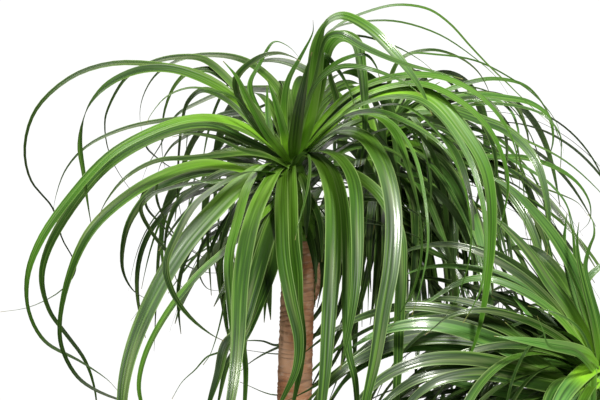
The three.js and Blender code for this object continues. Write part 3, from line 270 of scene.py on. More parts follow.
LOW_TRACED = [
    ("low_upright_broad", 20, 16, [25, 20, 30], "599,374 598,345 589,306 574,270 555,238 536,214 510,188 "
     "488,176 476,172"),
    ("low_upright_inner", 10, 16, [25, 20, 30], "598,374 589,345 568,307 549,282 530,254 510,232 493,217 "
     "478,208"),
    ("low_upright_dull", -10, 15, [150], "598,375 588,345 565,315 545,292 520,268 495,252 475,245"),
    ("low_left_broad", 110, 22, [20, 25, 35], "597,386 582,394 568,390 556,379 538,366 512,350 480,336 "
     "455,328 430,324 407,325 385,330 362,341 343,354"),
    ("low_left_second", 60, 17, [30, 35], "597,388 572,385 540,371 500,356 460,348 420,346 385,354 352,374 "
     "328,402"),
    ("low_left_bright", 130, 17, [30, 40], "599,366 590,356 575,350 549,345 520,340 494,336"),
    ("low_drop_bright", 90, 14, [30], "598,372 593,366 591,385 591,410 593,450 598,490"),
    ("low_drop_left_1", 60, 15, [35], "597,384 570,368 545,362 520,378 500,402 485,432 476,465"),
    ("low_drop_left_2", 20, 15, [40], "597,388 565,366 535,355 500,358 478,390 462,425 454,460"),
    ("low_drop_left_3", 110, 14, [35], "598,386 575,378 556,386 545,410 538,445 536,480"),
    ("low_fresh_1", 100, 20, [10], "601,368 590,369 576,380 562,398 550,428 545,465"),
    ("low_fresh_2", 120, 18, [15], "601,378 592,384 578,396 566,418 560,455"),
    ("low_reach_1", -20, 12, [40], "599,372 565,322 530,290 495,273 463,267 440,266 420,269 398,278"),
    ("low_shade_reach_2", -50, 13, [40], "599,373 560,328 520,304 480,290 450,282 425,278 402,282"),
    ("low_shade_reach_3", 0, 14, [35], "598,374 560,342 520,322 480,306 450,299 428,300 408,310"),
    ("low_reach_4", 40, 10, [30], "599,373 560,318 520,290 490,279 470,279 452,286 434,298 418,307 400,316"),
    ("low_shade_reach_5", -30, 14, [35], "598,375 550,347 500,324 460,313 430,310 410,315 396,328"),
    ("low_under_1", -60, 15, [30], "598,388 560,378 510,364 470,352 440,350 420,357 400,372"),
    ("low_under_2", 10, 10, [30], "598,388 560,374 520,362 480,348 457,341 440,348 425,358 408,371"),
    ("low_far_shade_1", 100, 18, [30], "597,387 560,372 515,348 470,334 430,332 392,341 358,359 325,384 "
     "298,412"),
    ("low_far_dark_2", 30, 17, [35], "597,390 550,368 500,350 450,342 408,344 372,356 340,376 312,405"),
    ("low_far_dark_3", 80, 18, [30], "597,390 555,380 510,366 460,358 418,362 380,380 352,410 335,440"),
    ("low_far_dark_4", 0, 15, [35], "598,388 550,356 500,326 450,310 408,306 370,314 335,330 300,356"),
    ("low_far_shade_5", 140, 16, [25], "597,389 560,388 520,380 475,374 436,382 408,404 392,440"),
    ("low_far_dark_6", 60, 11, [35], "598,388 555,362 505,336 455,318 412,322 378,338 348,362 312,388 "
     "284,402"),
    ("low_far_dark_7", 120, 17, [30], "597,389 555,384 505,374 455,370 415,380 385,402 365,432"),
    ("low_far_shade_8", 60, 17, [30], "598,389 550,366 500,346 455,338 415,340 378,351 345,369 318,396 "
     "300,428"),
    ("low_bright_short", 30, 9, [40], "597,378 575,365 550,345 534,322 522,307 510,293 500,284"),
    ("low_shade_short", 10, 12, [35], "596,380 562,364 541,350 528,334 515,315 503,303 491,296"),
    ("low_up_1", 0, 9, [40], "600,372 590,330 578,290 575,260 573,235 568,210"),
    ("low_up_2", 30, 10, [30], "601,372 595,330 585,288 579,262 577,240 579,222"),
    ("low_up_3", 20, 10, [35], "601,372 600,330 590,292 585,268 589,248 594,235 593,222 588,214"),
    ("low_up_4", -30, 12, [30], "600,372 584,322 569,275 564,245 567,213"),
    ("low_up_right", -20, 12, [30], "601,372 594,330 585,300 586,282 595,271 608,262 630,256"),
]

# Leaves that the picture hides or leaves dark, set round each stem by a rule: seed, how many, the arc that
# they fill (degrees, 90 is straight back), their length, how steeply young and old ones leave the stem, and
# width.
HIDDEN = {
    "main": [(11, 16, (40, 130), (330, 470), (66, 8), (12, 18)),
             (12, 8, (130, 175), (220, 310), (30, -5), (11, 15)),
             (13, 8, (-5, 48), (320, 440), (50, 5), (12, 17)),
             (14, 8, (188, 236), (110, 165), (5, -45), (10, 14))],
    "rear": [(21, 12, (45, 140), (370, 500), (56, 8), (12, 18)),
             (22, 7, (-25, 45), (280, 400), (58, 5), (11, 16)),
             (23, 6, (150, 215), (250, 350), (50, 0), (11, 15)),
             (24, 13, (270, 345), (220, 370), (35, -30), (12, 18))],
    "low": [(31, 12, (-60, 105), (330, 450), (72, 8), (12, 18)),
            (32, 17, (105, 195), (300, 460), (68, -5), (13, 19)),
            (33, 8, (225, 300), (240, 360), (10, -35), (12, 17))],
}
# Finer leaves between them, by rules of the same kind.
BETWEEN = {
    "main": [(41, 14, (40, 130), (260, 400), (70, 0), (6, 12)),
             (42, 6, (150, 210), (150, 250), (30, -20), (6, 11)),
             (43, 8, (292, 350), (70, 115), (0, -50), (8, 12))],
    "rear": [(44, 16, (-40, 60), (260, 430), (60, 0), (5, 11)),
             (45, 16, (265, 350), (230, 380), (40, -30), (6, 14)),
             (46, 10, (60, 200), (300, 440), (60, 0), (6, 12)),
             (51, 18, (262, 350), (240, 370), (30, -50), (8, 14))],
    "low": [(47, 34, (130, 200), (260, 460), (66, -10), (6, 14)),
            (48, 16, (180, 250), (240, 420), (5, -50), (6, 14)),
            (49, 12, (-60, 95), (260, 420), (60, 0), (6, 12)),
            (50, 26, (140, 205), (280, 480), (42, -30), (7, 15)),
            (52, 26, (166, 202), (420, 530), (30, -14), (8, 14))],
}

# Thin young and torn strands that the picture shows, in the same terms as the leaves.
STRANDS = {
    "main": [
        ("dark_curl", -40, 6.4, [25], "291,165 235,150 180,168 146,190 141,208 150,230 165,250 180,262 "
         "197,270 212,273 225,272"),
        ("dark_curl_thin", 10, 4.8, [25], "291,165 240,155 185,165 150,185 146,205 162,225 177,240 197,254 "
         "222,265"),
        ("dull_drop", 20, 4, [35], "291,180 262,215 240,250 228,285 222,315 217,335 210,355 203,365"),
        ("dull_trail", 60, 4.8, [35], "291,182 262,225 244,270 234,315 222,350 207,357 195,370 182,382 "
         "172,399"),
        ("dark_loop_high", -30, 4.8, [35], "291,165 230,140 180,132 155,131 146,145 160,160 175,170 190,180"),
        ("dark_drop_high", -30, 6.4, [35], "291,165 240,140 205,125 190,125 187,140 186,157"),
        ("dark_loop_low", 30, 4.8, [35], "291,168 240,165 190,165 162,172 157,185 157,200 164,217 175,235 "
         "200,255"),
        ("dull_left", 90, 4, [35], "291,172 250,178 212,183 197,180 182,174"),
        ("bright_long", 150, 8, [20], "294,161 360,105 420,100 465,150 484,210 485,260 481,288 473,306 "
         "463,323"),
        ("bright_thin", 175, 4.8, [30], "294,161 345,118 385,118 412,150 425,200 428,245 421,285 412,315"),
        ("dull_middle", 185, 4, [35], "294,166 302,154 308,154 310,165 309,180 305,200 299,222 295,240"),
    ],
    "rear": [
        ("dark_back_1", 40, 8, [35], "379,150 350,215 320,310 279,345 262,341 245,341 232,345"),
        ("dark_back_2", 40, 6.4, [35], "380,150 352,230 325,320 300,350 279,354 246,350"),
        ("dark_back_3", 60, 8, [30], "380,150 355,240 330,325 279,347 262,355 247,365 238,374"),
        ("dark_back_4", 60, 6.4, [35], "380,152 362,250 340,350 310,388 275,395 240,382"),
        ("bright_fall_1", 100, 4.8, [25], "382,148 440,110 495,100 510,110 517,125 519,140 516,160 520,180"),
        ("dull_fall_2", 60, 4.8, [25], "382,148 470,105 540,113 560,135 561,155 560,170"),
        ("dark_fall_3", 80, 6.4, [25], "382,148 440,105 480,98 497,110 505,132 507,155 505,175 510,197"),
        ("dull_fall_4", 120, 6.4, [25], "383,150 420,165 445,195 453,225 455,255 450,285 443,305"),
        ("dark_cross_1", 130, 8, [25], "382,150 400,190 430,230 470,262 510,280 545,285"),
        ("dark_cross_2", 110, 9.6, [25], "382,150 392,200 410,250 440,290 480,318 520,330"),
        ("dark_cover_1", 215, 13, [35], "381,152 385,190 386,225 385,262 381,300 375,335"),
        ("dark_cover_2", 190, 11, [30], "381,152 374,185 378,225 384,265 388,305 389,345"),
        ("dark_cover_3", 140, 11, [30], "381,152 372,195 366,240 352,300 330,352 306,396"),
    ],
    "low": [
        ("bright_low", 20, 13, [20], "598,392 560,398 500,392 460,384 440,380 418,388"),
        ("dull_low_1", 90, 4, [25], "598,378 570,350 540,342 525,338 505,322"),
        ("dull_low_2", 40, 4, [25], "599,374 580,330 560,315 545,310 528,306"),
        ("bright_low_1", 120, 8, [20], "598,376 575,352 548,345 543,330 537,316"),
        ("dark_low_2", 60, 9.6, [25], "599,374 560,338 520,318 480,310 450,316 425,335"),
        ("dark_low_3", 80, 9.6, [25], "599,376 555,352 505,345 455,356 420,375 395,392"),
        ("dark_low_4", 30, 11.2, [20], "599,373 548,300 500,262 455,245 415,248 385,262"),
    ],
}

# ---------------------------------------------------------------- small tools


def draws(seed):
    """A small repeatable random number source, which mixes the bits of a counter."""
    state = seed * 2654435761
    mask = 0xFFFFFFFF
    step = 0x6D2B79F5

    def draw(low, high):
        nonlocal state
        state = (state + step) & mask
        bits = ((state ^ state >> 15) * (state | 1)) & mask
        bits ^= (bits + (bits ^ bits >> 7) * (bits | 61)) & mask
        return low + ((bits ^ bits >> 14) & mask) / 2**32 * (high - low)

    return draw


def mix(start, end, share):
    return start + (end - start) * share


def smooth(share):
    share = np.clip(share, 0, 1)
    return share * share * (3 - 2 * share)


def unit(vectors):
    return vectors / np.linalg.norm(vectors, axis=-1, keepdims=True)


def runs(line):
    """How far along a line each of its points lies."""
    return np.concatenate([[0], np.cumsum(np.linalg.norm(np.diff(line, axis=0), axis=1))])


def read_at(known, wanted, vectors):
    """Vectors that are known at some runs along a line, read at the wanted ones."""
    return np.stack([np.interp(wanted, known, vectors[:, axis]) for axis in range(3)], axis=1)


def linear(code):
    """The linear colour of an sRGB hex code."""
    parts = [int(code[place:place + 2], 16) / 255 for place in (1, 3, 5)]
    parts = [part / 12.92 if part <= 0.04045 else ((part + 0.055) / 1.055) ** 2.4 for part in parts]
    return (*parts, 1.0)


def set_inputs(tree, node, inputs):
    """Sets inputs of a node to a value, a socket, a node's first output in use, or a list of these."""
    for name, given in inputs.items():
        for value in given if isinstance(given, list) else [given]:
            if isinstance(value, bpy.types.Node):
                value = next(out for out in value.outputs if out.enabled)
            if isinstance(value, bpy.types.NodeSocket):
                tree.links.new(value, node.inputs[name])
            else:
                node.inputs[name].default_value = value


def add(tree, kind, inputs=None, **settings):
    """Adds a node with its settings and inputs."""
    node = tree.nodes.new(kind)
    for name, value in settings.items():
        setattr(node, name, value)
    set_inputs(tree, node, inputs or {})
    return node


def through(points, samples=14):
    """A smooth line through points (a centripetal Catmull-Rom spline)."""
    points = np.asarray(points, float)
    padded = np.vstack([2 * points[0] - points[1], points, 2 * points[-1] - points[-2]])
    steps = np.linspace(0, 1, samples + 1)[1:, None]
    line = [points[:1]]
    for before, start, end, after in zip(padded, padded[1:], padded[2:], padded[3:]):
        one, two, three = (max(np.linalg.norm(b - a), 1e-6) ** 0.5
                           for a, b in ((before, start), (start, end), (end, after)))
        leave = ((start - before) / one - (end - before) / (one + two) + (end - start) / two) * two
        arrive = ((end - start) / two - (after - start) / (two + three) + (after - end) / three) * two
        line.append(start + leave * steps + (3 * (end - start) - 2 * leave - arrive) * steps ** 2
                    + (2 * (start - end) + leave + arrive) * steps ** 3)
    return np.concatenate(line)


def evenly(line, count):
    """The same line as `count` evenly spaced points, and its length."""
    run = runs(line)
    return read_at(run, np.linspace(0, run[-1], count), line), run[-1]


def plain_object(name, mesh):
    piece = bpy.data.objects.new(name, mesh)
    bpy.context.scene.collection.objects.link(piece)
    return piece


def evaluated(name, source):
    """A plain mesh object from a source object with modifiers. The source is removed."""
    graph = bpy.context.evaluated_depsgraph_get()
    mesh = bpy.data.meshes.new_from_object(
        source.evaluated_get(graph), preserve_all_data_layers=True, depsgraph=graph)
    mesh.name = name
    bpy.data.objects.remove(source)
    return plain_object(name, mesh)


def grown(name, mesh, tree, sizes):
    """What a Geometry Nodes tree makes of a mesh, with its named inputs set, as a plain mesh object."""
    source = plain_object(name + "_source", mesh)
    modifier = source.modifiers.new(name, "NODES")
    modifier.node_group = tree
    for item in tree.interface.items_tree:
        if item.in_out == "INPUT" and item.name in sizes:
            modifier[item.identifier] = sizes[item.name]
    return evaluated(name, source)


def new_tree(name, inputs):
    """A Geometry Nodes tree with named inputs; gives the tree and its inputs' sockets."""
    tree = bpy.data.node_groups.new(name, "GeometryNodeTree")
    for label, kind in {"Geometry": "Geometry", **inputs}.items():
        tree.interface.new_socket(label, in_out="INPUT", socket_type="NodeSocket" + kind)
    tree.interface.new_socket("Geometry", in_out="OUTPUT", socket_type="NodeSocketGeometry")
    return tree, add(tree, "NodeGroupInput").outputs


def end_tree(tree, geometry, finish):
    """Ends a tree: its instances made real, with the finish on them."""
    geometry = add(tree, "GeometryNodeRealizeInstances", {"Geometry": geometry})
    geometry = add(tree, "GeometryNodeSetMaterial", {"Geometry": geometry, "Material": finish})
    add(tree, "NodeGroupOutput", {"Geometry": geometry})
    return tree


def point_attribute(mesh, name, values):
    """Stores one number or one vector for each point of a mesh."""
    values = np.asarray(values, np.float32)
    kind, field = ("FLOAT", "value") if values.ndim == 1 else ("FLOAT_VECTOR", "vector")
    mesh.attributes.new(name, kind, "POINT").data.foreach_set(field, values.ravel())


def finish_piece(piece, node):
    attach(piece, "root")
    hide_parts(node)


# ---------------------------------------------------------------- materials


def new_material(name):
    """A node material; gives the material, its tree and its shader."""
    material = bpy.data.materials.new(name)
    material.use_nodes = True
    tree = material.node_tree
    return material, tree, tree.nodes["Principled BSDF"]


def painted(tree, base, layers):
    """A base colour under layers of colour. While the value that a layer follows goes from `start` to `end`,
    the layer's share of the colour goes from `first` to `last`."""
    body = linear(base)
    for value, (start, end), (first, last), colour, *curve in layers:
        share = add(tree, "ShaderNodeMapRange", {
            "Value": value, "From Min": start, "From Max": end, "To Min": first, "To Max": last})
        share.interpolation_type = curve[0] if curve else "LINEAR"
        body = add(tree, "ShaderNodeMix", {0: share, 6: body, 7: linear(colour)}, data_type="RGBA")
    return body


def glossy_strap_leaf():
    """Living ponytail palm leaf: a thick waxy strap with fine veins along it. The wax gives long soft
    highlights, the veins break them into streaks, and the thin margins are paler."""
    material, tree, shader = new_material("glossy_strap_leaf")
    share, across, run, tint_and_shading, fresh, lit_paleness, above = (
        add(tree, "ShaderNodeAttribute", attribute_name=name).outputs["Fac"]
        for name in ("share", "across", "run", "tint_and_shading", "fresh", "lit_paleness", "above"))
    # Veins are 0.7 mm apart on a real leaf, which is finer than a pixel; they are drawn about 2.5 mm apart.
    # A pattern's stretch is in cycles to half a width and to a metre of run. Each leaf's tint makes it
    # differ; the tint is partly the leaf's own tone and partly painted light and shade.
    across_first = add(tree, "ShaderNodeCombineXYZ", {"X": across, "Y": run, "Z": tint_and_shading})
    run_first = add(tree, "ShaderNodeCombineXYZ", {"X": run, "Y": across, "Z": tint_and_shading})
    streak, relief, blotch, worn = (
        add(tree, "ShaderNodeTexNoise", {
            "Vector": add(tree, "ShaderNodeMapping", {"Vector": place, "Scale": stretch}), "Scale": 1,
            "Detail": detail})
        for place, stretch, detail in (
            (across_first, (3.1, 7, 60), 1), (across_first, (3.1, 7, 60), 0),
            (run_first, (11, 0, 60), 3), (run_first, (8, 1.1, 60), 1)))
    tone = add(tree, "ShaderNodeMath", {0: blotch, 1: tint_and_shading}, operation="ADD")
    margin = add(tree, "ShaderNodeMath", {0: across}, operation="ABSOLUTE")
    tip = add(tree, "ShaderNodeMapRange", {"Value": share, "From Min": 0.965, "From Max": 1, "To Max": 0.6})
    body = painted(tree, "#1C3C06", [
        # Painted light and shade: the tint moves each leaf between dark and light green, partly as its own
        # tone.
        (tone, (0.45, 1.5), (0, 1), "#4B8010"),
        # Painted light: the lighter leaves turn a paler, cooler green, as if in strong light.
        (lit_paleness, (0, 1), (0, 1), "#5E924A"),
        (streak, (0.52, 0.66), (0, 0.32), "#8AB354"),
        (streak, (0.35, 0.48), (0.7, 0), "#1A3606"),
        (worn, (0.54, 0.7), (0, 0.35), "#7C8A58"),
        (share, (0.02, 0.45), (fresh, 0), "#8FCB30", "SMOOTHSTEP"),
        (above, (0, 1), (0.55, 0), "#5A8538"),
        (margin, (0.84, 0.97), (0, 0.35), "#A9C276"),
        (tip, (0, 1), (0, 1), "#9C8A55"),
    ])
    wax = add(tree, "ShaderNodeMapRange", {
        "Value": streak, "From Min": 0.35, "From Max": 0.65, "To Min": 0.5, "To Max": 0.36})
    set_inputs(tree, shader, {
        "Base Color": body, "Roughness": add(tree, "ShaderNodeMix", {0: tip, 2: wax, 3: 0.7}),
        "Normal": add(tree, "ShaderNodeBump", {"Height": relief, "Strength": 0.5, "Distance": 0.0012}),
        "Coat Normal": add(tree, "ShaderNodeBump", {"Height": relief, "Strength": 0.3, "Distance": 0.0012}),
        "IOR": 1.45, "Specular IOR Level": 0.5, "Coat Weight": 0.3, "Coat Roughness": 0.13})
    return material


def ringed_bark():
    """Bark of a cane: thin reddish cork, ringed by the scars of fallen leaves; dull, darker in the rings."""
    material, tree, shader = new_material("ringed_bark")
    place = add(tree, "ShaderNodeTexCoord").outputs["Object"]
    ring = add(tree, "ShaderNodeAttribute", attribute_name="ring").outputs["Fac"]
    # Cork flakes are a few millimetres across and three times as wide as high.
    flat = add(tree, "ShaderNodeMapping", {"Vector": place, "Scale": (1, 1, 3.2)})
    flakes = add(tree, "ShaderNodeTexNoise", {"Vector": flat, "Scale": 90, "Detail": 5, "Roughness": 0.65})
    patches = add(tree, "ShaderNodeTexNoise", {"Vector": place, "Scale": 22, "Detail": 3})
    body = painted(tree, "#BC7E56", [
        (patches, (0.38, 0.62), (0, 1), "#E4B492"),
        (flakes, (0.5, 0.72), (0, 1), "#E0BCA4"),
        (ring, (0.05, 0.35), (0.42, 0), "#5A3024"),
    ])
    bump = add(tree, "ShaderNodeBump", {"Height": flakes, "Strength": 0.6, "Distance": 0.001})
    set_inputs(tree, shader, {"Base Color": body, "Normal": bump, "Roughness": 0.78})
    return material


def unglazed_clay():
    """Fired earthenware, thrown and left unglazed: matt, with fine turning lines and a pale bloom."""
    material, tree, shader = new_material("unglazed_clay")
    place = add(tree, "ShaderNodeTexCoord").outputs["Object"]
    # Turning lines are 2 mm apart.
    lines = add(tree, "ShaderNodeTexWave", {"Vector": place, "Scale": 80, "Distortion": 1.2, "Detail": 2},
                bands_direction="Z").outputs["Fac"]
    grit = add(tree, "ShaderNodeTexNoise", {"Vector": place, "Scale": 700, "Detail": 3})
    bloom = add(tree, "ShaderNodeTexNoise", {"Vector": place, "Scale": 14, "Detail": 6, "Roughness": 0.6})
    body = painted(tree, "#A9603F", [
        (grit, (0, 1), (0, 1), "#C47C57"),
        (bloom, (0.46, 0.7), (0, 0.5), "#D3A88F"),
    ])
    height = add(tree, "ShaderNodeMath", {0: lines, 1: grit}, operation="ADD")
    bump = add(tree, "ShaderNodeBump", {"Height": height, "Strength": 0.25, "Distance": 0.0005})
    set_inputs(tree, shader, {"Base Color": body, "Normal": bump, "Roughness": 0.88})
    return material


def potting_mix():
    """Damp peat with bark: dark brown crumbs of mixed tone, fully matt."""
    material, tree, shader = new_material("potting_mix")
    place = add(tree, "ShaderNodeTexCoord").outputs["Object"]
    # Crumbs are 2 to 6 mm. Some are chips of bark, and a few are grains of white perlite.
    crumbs = add(tree, "ShaderNodeTexNoise", {"Vector": place, "Scale": 230, "Detail": 4})
    kind = add(tree, "ShaderNodeAttribute", attribute_name="kind").outputs["Fac"]
    body = painted(tree, "#20140D", [
        (crumbs, (0.35, 0.65), (0, 1), "#553B29"),
        (kind, (0.6, 0.62), (0, 0.7), "#7A5638"),
        (kind, (0.94, 0.95), (0, 0.9), "#D8D3C6"),
    ])
    bump = add(tree, "ShaderNodeBump", {"Height": crumbs, "Strength": 0.9, "Distance": 0.003})
    set_inputs(tree, shader, {"Base Color": body, "Normal": bump, "Roughness": 0.95})
    return material


leaf_finish = glossy_strap_leaf()
bark_finish = ringed_bark()
clay_finish = unglazed_clay()
soil_finish = potting_mix()

# ---------------------------------------------------------------- leaves

LEAF_SPOTS = 121
LEAF_SHARES = np.linspace(0, 1, LEAF_SPOTS)

# The leaves of a rule go round its arc by the golden ratio, straying a little. Young ones stand high on the
# stem tip and old ones lower.
GOLDEN_STEP, STEP_STRAY, YOUNG_HEIGHT, AGE_DROP = 0.618034, (0, 0.12), 0.94, 0.8
# How else they differ, in degrees: sideways drift, stray of the lift, fall below level and twist at the end,
# and the share of the length over which a leaf arches.
DRIFT, LIFT_STRAY, FALL, TWIST, ARCHED = (-45, 45), (-7, 7), (50, 108), (-60, 60), (0.75, 1.05)
RULED_STEPS = 24
# Millimetres round a leaf's box, and between a cane and the leaves near it.
BOX_MARGIN, CANE_CLEARANCE = 1, 3


def squared(along, vector):
    return unit(vector - along * np.dot(along, vector))


def carried(tangents, first, direction):
    """A width direction carried along a leaf without twisting it, both ways from where it is known."""
    sides = np.empty_like(tangents)
    sides[first] = squared(tangents[first], direction)
    for spot in range(first + 1, len(tangents)):
        sides[spot] = squared(tangents[spot], sides[spot - 1])
    for spot in range(first - 1, -1, -1):
        sides[spot] = squared(tangents[spot], sides[spot + 1])
    return sides


def turned(sides, tangents, angles):
    angles = np.asarray(angles)[..., None]
    return sides * np.cos(angles) + np.cross(tangents, sides) * np.sin(angles)


def half_widths(width, shares):
    root = mix(ROOT_WIDTH, 1, smooth(shares / ROOT_LENGTH))
    taper = 1 - np.clip((shares - ROOT_LENGTH) / (1 - ROOT_LENGTH), 0, 1) ** TAPER_POWER
    return np.maximum(width * root * taper, THREAD_WIDTH) / 2


def leaf_along(line, width, width_directions):
    """A leaf along a line: its middle line, width directions and half widths."""
    middle, length = evenly(line, LEAF_SPOTS)
    tangents = unit(np.gradient(middle, axis=0))
    return {"middle": middle, "tangents": tangents, "sides": width_directions(tangents),
            "half": half_widths(width, LEAF_SHARES), "length": length}


def traced_leaf(head, row, order, bend):
    """A leaf that the picture shows."""
    _, toward, width, turns, pixels = row
    flat = np.array([pair.split(",") for pair in pixels.split()], float)
    run = runs(flat)
    root_depth = (head["depth"] - np.clip(toward * ROOT_SHARE, -ROOT_MOST, ROOT_MOST)
                  + ROOT_STEP * (order % ROOT_STEPS))
    depths = root_depth - (toward + bend) * (1 - (1 - run / run[-1]) ** 2)
    handed = -1 if flat[0][0] < flat[-1][0] else 1
    turns = np.radians(np.interp(LEAF_SHARES * (len(turns) - 1), range(len(turns)), turns)) * handed
    seen = round(SEEN_SHARE * (LEAF_SPOTS - 1))

    def facing(tangents):
        direction = unit(np.cross(FORWARD, tangents[seen]))
        sides = carried(tangents, seen, turned(direction, tangents[seen], turns[seen]))
        return turned(sides, tangents, turns - turns[seen])

    return leaf_along(through([place_of(x, y, depth) for (x, y), depth in zip(flat, depths)]), width, facing)


def ruled_leaf(head, rule, index, draw):
    """A leaf of a rule: it arches over and hangs. Gives its maker, which takes a bend, and its age."""
    _, count, arc, lengths, lifts, widths = rule
    age = (index + 0.5) / count
    share = (index * GOLDEN_STEP + draw(*STEP_STRAY)) % 1
    root = mix(head["foot"], head["point"], YOUNG_HEIGHT - AGE_DROP * age)
    azimuth = mix(*arc, share)
    drift = draw(*DRIFT)
    lift = mix(*lifts, age) + draw(*LIFT_STRAY)
    fall = draw(*FALL)
    arched = draw(*ARCHED)
    length = mix(*lengths, draw(0, 1))
    width = mix(*widths, draw(0, 1))
    twist = draw(*TWIST)

    def make(bend):
        def heading(shares):
            return np.radians(azimuth + bend + drift * shares ** 2)

        def level(tangents):
            angle = heading(LEAF_SHARES)
            sides = np.stack([np.sin(angle), -np.cos(angle), np.zeros(LEAF_SPOTS)], axis=1)
            sides = unit(sides - tangents * np.sum(sides * tangents, axis=1, keepdims=True))
            return turned(sides, tangents, np.radians(twist * LEAF_SHARES))

        shares = (np.arange(RULED_STEPS) + 0.5) / RULED_STEPS
        rise = np.radians(mix(lift, -fall, smooth(shares / arched)))
        angle = heading(shares)
        moves = np.stack([np.cos(rise) * np.cos(angle), np.cos(rise) * np.sin(angle), np.sin(rise)], axis=1)
        spots = root + np.concatenate([np.zeros((1, 3)), np.cumsum(moves, axis=0)]) * length / RULED_STEPS
        return leaf_along(through(spots, 6), width, level)

    return make, age


def obstacle(corners, faces):
    """A form that leaves keep clear of, with the two corners of a box round it."""
    tree = BVHTree.FromPolygons(corners.tolist(), faces)
    return corners.min(0) - BOX_MARGIN, corners.max(0) + BOX_MARGIN, tree


def ribbon(leaf, skip=40, step=5):
    """A leaf as a thin strip, without its root, to see what it meets."""
    first = int(skip / leaf["length"] * (LEAF_SPOTS - 1))
    spots = slice(first, None, step)
    reach = leaf["sides"][spots] * leaf["half"][spots, None]
    count = len(reach)
    faces = [(spot, spot + 1, spot + 1 + count, spot + count) for spot in range(count - 1)]
    return obstacle(np.concatenate([leaf["middle"][spots] - reach, leaf["middle"][spots] + reach]), faces)


def tube_seen(line):
    """A cane as a four-sided tube, for leaves to keep clear of."""
    middle = through(line, 6)
    reach = CANE_TOP + CANE_CLEARANCE
    sides = [(reach, 0, 0), (0, reach, 0), (-reach, 0, 0), (0, -reach, 0)]
    count = len(middle)
    faces = []
    for side in range(4):
        here, beside = side * count, (side + 1) % 4 * count
        faces += [(here + spot, here + spot + 1, beside + spot + 1, beside + spot)
                  for spot in range(count - 1)]
    return obstacle(np.concatenate([middle + side for side in sides]), faces)


def settle(placed, bends, make):
    """Makes a leaf with the bend that meets the fewest leaves already placed."""
    best, fewest = None, math.inf
    for bend in bends:
        leaf = make(bend)
        low, high, tree = ribbon(leaf)
        met = sum(bool(tree.overlap(other)) for other_low, other_high, other in placed
                  if (low < other_high).all() and (other_low < high).all())
        if met < fewest:
            best, fewest = (leaf, (low, high, tree)), met
        if not met:
            break
    placed.append(best[1])
    return best[0]


# How light and how young a leaf looks, by a word in its name. The lightness is partly the leaf's own tone and
# partly painted light and shade: "bright" paints a leaf as lit, "dark" and "shade" paint it as shaded.
LOOKS = {
    "young": (0.5, 1.6), "plain": (0.3, 0.2), "front": (0.2, 0.3), "left_broad": (0.15, 0.3),
    "low_left": (0.6, 0.5), "bright": (0.75, 0.6), "dark": (-0.1, 0.3), "shade": (-0.15, 0.1),
    "dull": (0.25, 0.0), "fresh": (1.0, 3.0), "lime": (0.9, 2.6),
}
# The same for leaves without such a word, and for ruled leaves, by chance. The ruled leaves stand inside the
# crowns, and their low tints are painted shade. Old ruled leaves don't look young.
TINTS, FRESHNESS = (0.2, 0.7), (0.2, 0.9)
RULED_SHADED_TINTS, RULED_FRESHNESS = (-0.3, 0.25), 0.35
LOOK_SEEDS = {"main": 44, "low": 43, "rear": 44}


def look(name, tint_and_shading=0.0, fresh=0.0):
    for word, shown in LOOKS.items():
        if word in name:
            tint_and_shading, fresh = shown
    return {"tint_and_shading": tint_and_shading, "fresh": fresh}


def grow_heads():
    """Every leaf of each head."""
    placed = [tube_seen(line) for line in CANES.values()]
    traced = {"main": MAIN_LEFT + MAIN_FRONT + MAIN_TOP + MAIN_RIGHT, "low": LOW_TRACED, "rear": REAR_TRACED}
    heads = {}
    for label, rows in traced.items():
        head, leaves = HEADS[label], []
        draw_look = draws(LOOK_SEEDS[label])
        for order, row in enumerate(rows):
            leaf = settle(placed, FORWARD_BENDS, lambda bend: traced_leaf(head, row, order, bend))
            leaves.append(leaf | look(row[0], draw_look(*TINTS), draw_look(*FRESHNESS)))
        for rule in HIDDEN[label] + BETWEEN[label]:
            draw = draws(rule[0])
            for index in range(rule[1]):
                make, age = ruled_leaf(head, rule, index, draw)
                leaf = settle(placed, SIDEWAYS_BENDS, make)
                leaves.append(leaf | {"tint_and_shading": draw_look(*RULED_SHADED_TINTS), "fresh": RULED_FRESHNESS * (1 - age)})
        for order, row in enumerate(STRANDS[label]):
            leaf = settle(placed, FORWARD_BENDS, lambda bend: traced_leaf(head, row, order, bend))
            leaves.append(leaf | look(row[0]))
        heads[label] = leaves
    return heads


# The leaf-bearing tip of a cane: radius at shares of its height from the cane's end to the growing point.
TIP_OUTLINE = [(0, 17.5), (0.06, 19), (0.25, 19.5), (0.6, 18), (0.9, 13), (1.05, 7), (1.1, 2)]
TIP_ROWS, TIP_SIDES = 60, 72


def stem_tip(head):
    """The tip as a closed form of clasping leaf bases in a spiral, with each point's turn and height."""
    heights = np.linspace(0, TIP_OUTLINE[-1][0], TIP_ROWS)
    turns = np.arange(TIP_SIDES) / TIP_SIDES
    height, turn = np.meshgrid(heights, turns, indexing="ij")
    overlap = (height * 6 + turn * 3) % 1
    bulge = np.abs(np.cos((turn * 5 - height * 4) * math.pi))
    radius = np.interp(height, *zip(*TIP_OUTLINE)) * (0.93 + 0.05 * overlap + 0.05 * bulge)
    angle = turn * math.tau
    around = np.stack([np.cos(angle) * radius, np.sin(angle) * radius, np.zeros_like(turn)], axis=-1)
    places = head["foot"] + around + height[..., None] * (head["point"] - head["foot"])
    last = (TIP_ROWS - 1) * TIP_SIDES
    faces = [list(range(TIP_SIDES))[::-1], [last + side for side in range(TIP_SIDES)]]
    for row in range(0, last, TIP_SIDES):
        for side in range(TIP_SIDES):
            here, beside = row + side, row + (side + 1) % TIP_SIDES
            faces.append([here, beside, beside + TIP_SIDES, here + TIP_SIDES])
    return places.reshape(-1, 3), faces, turn.ravel(), height.ravel()


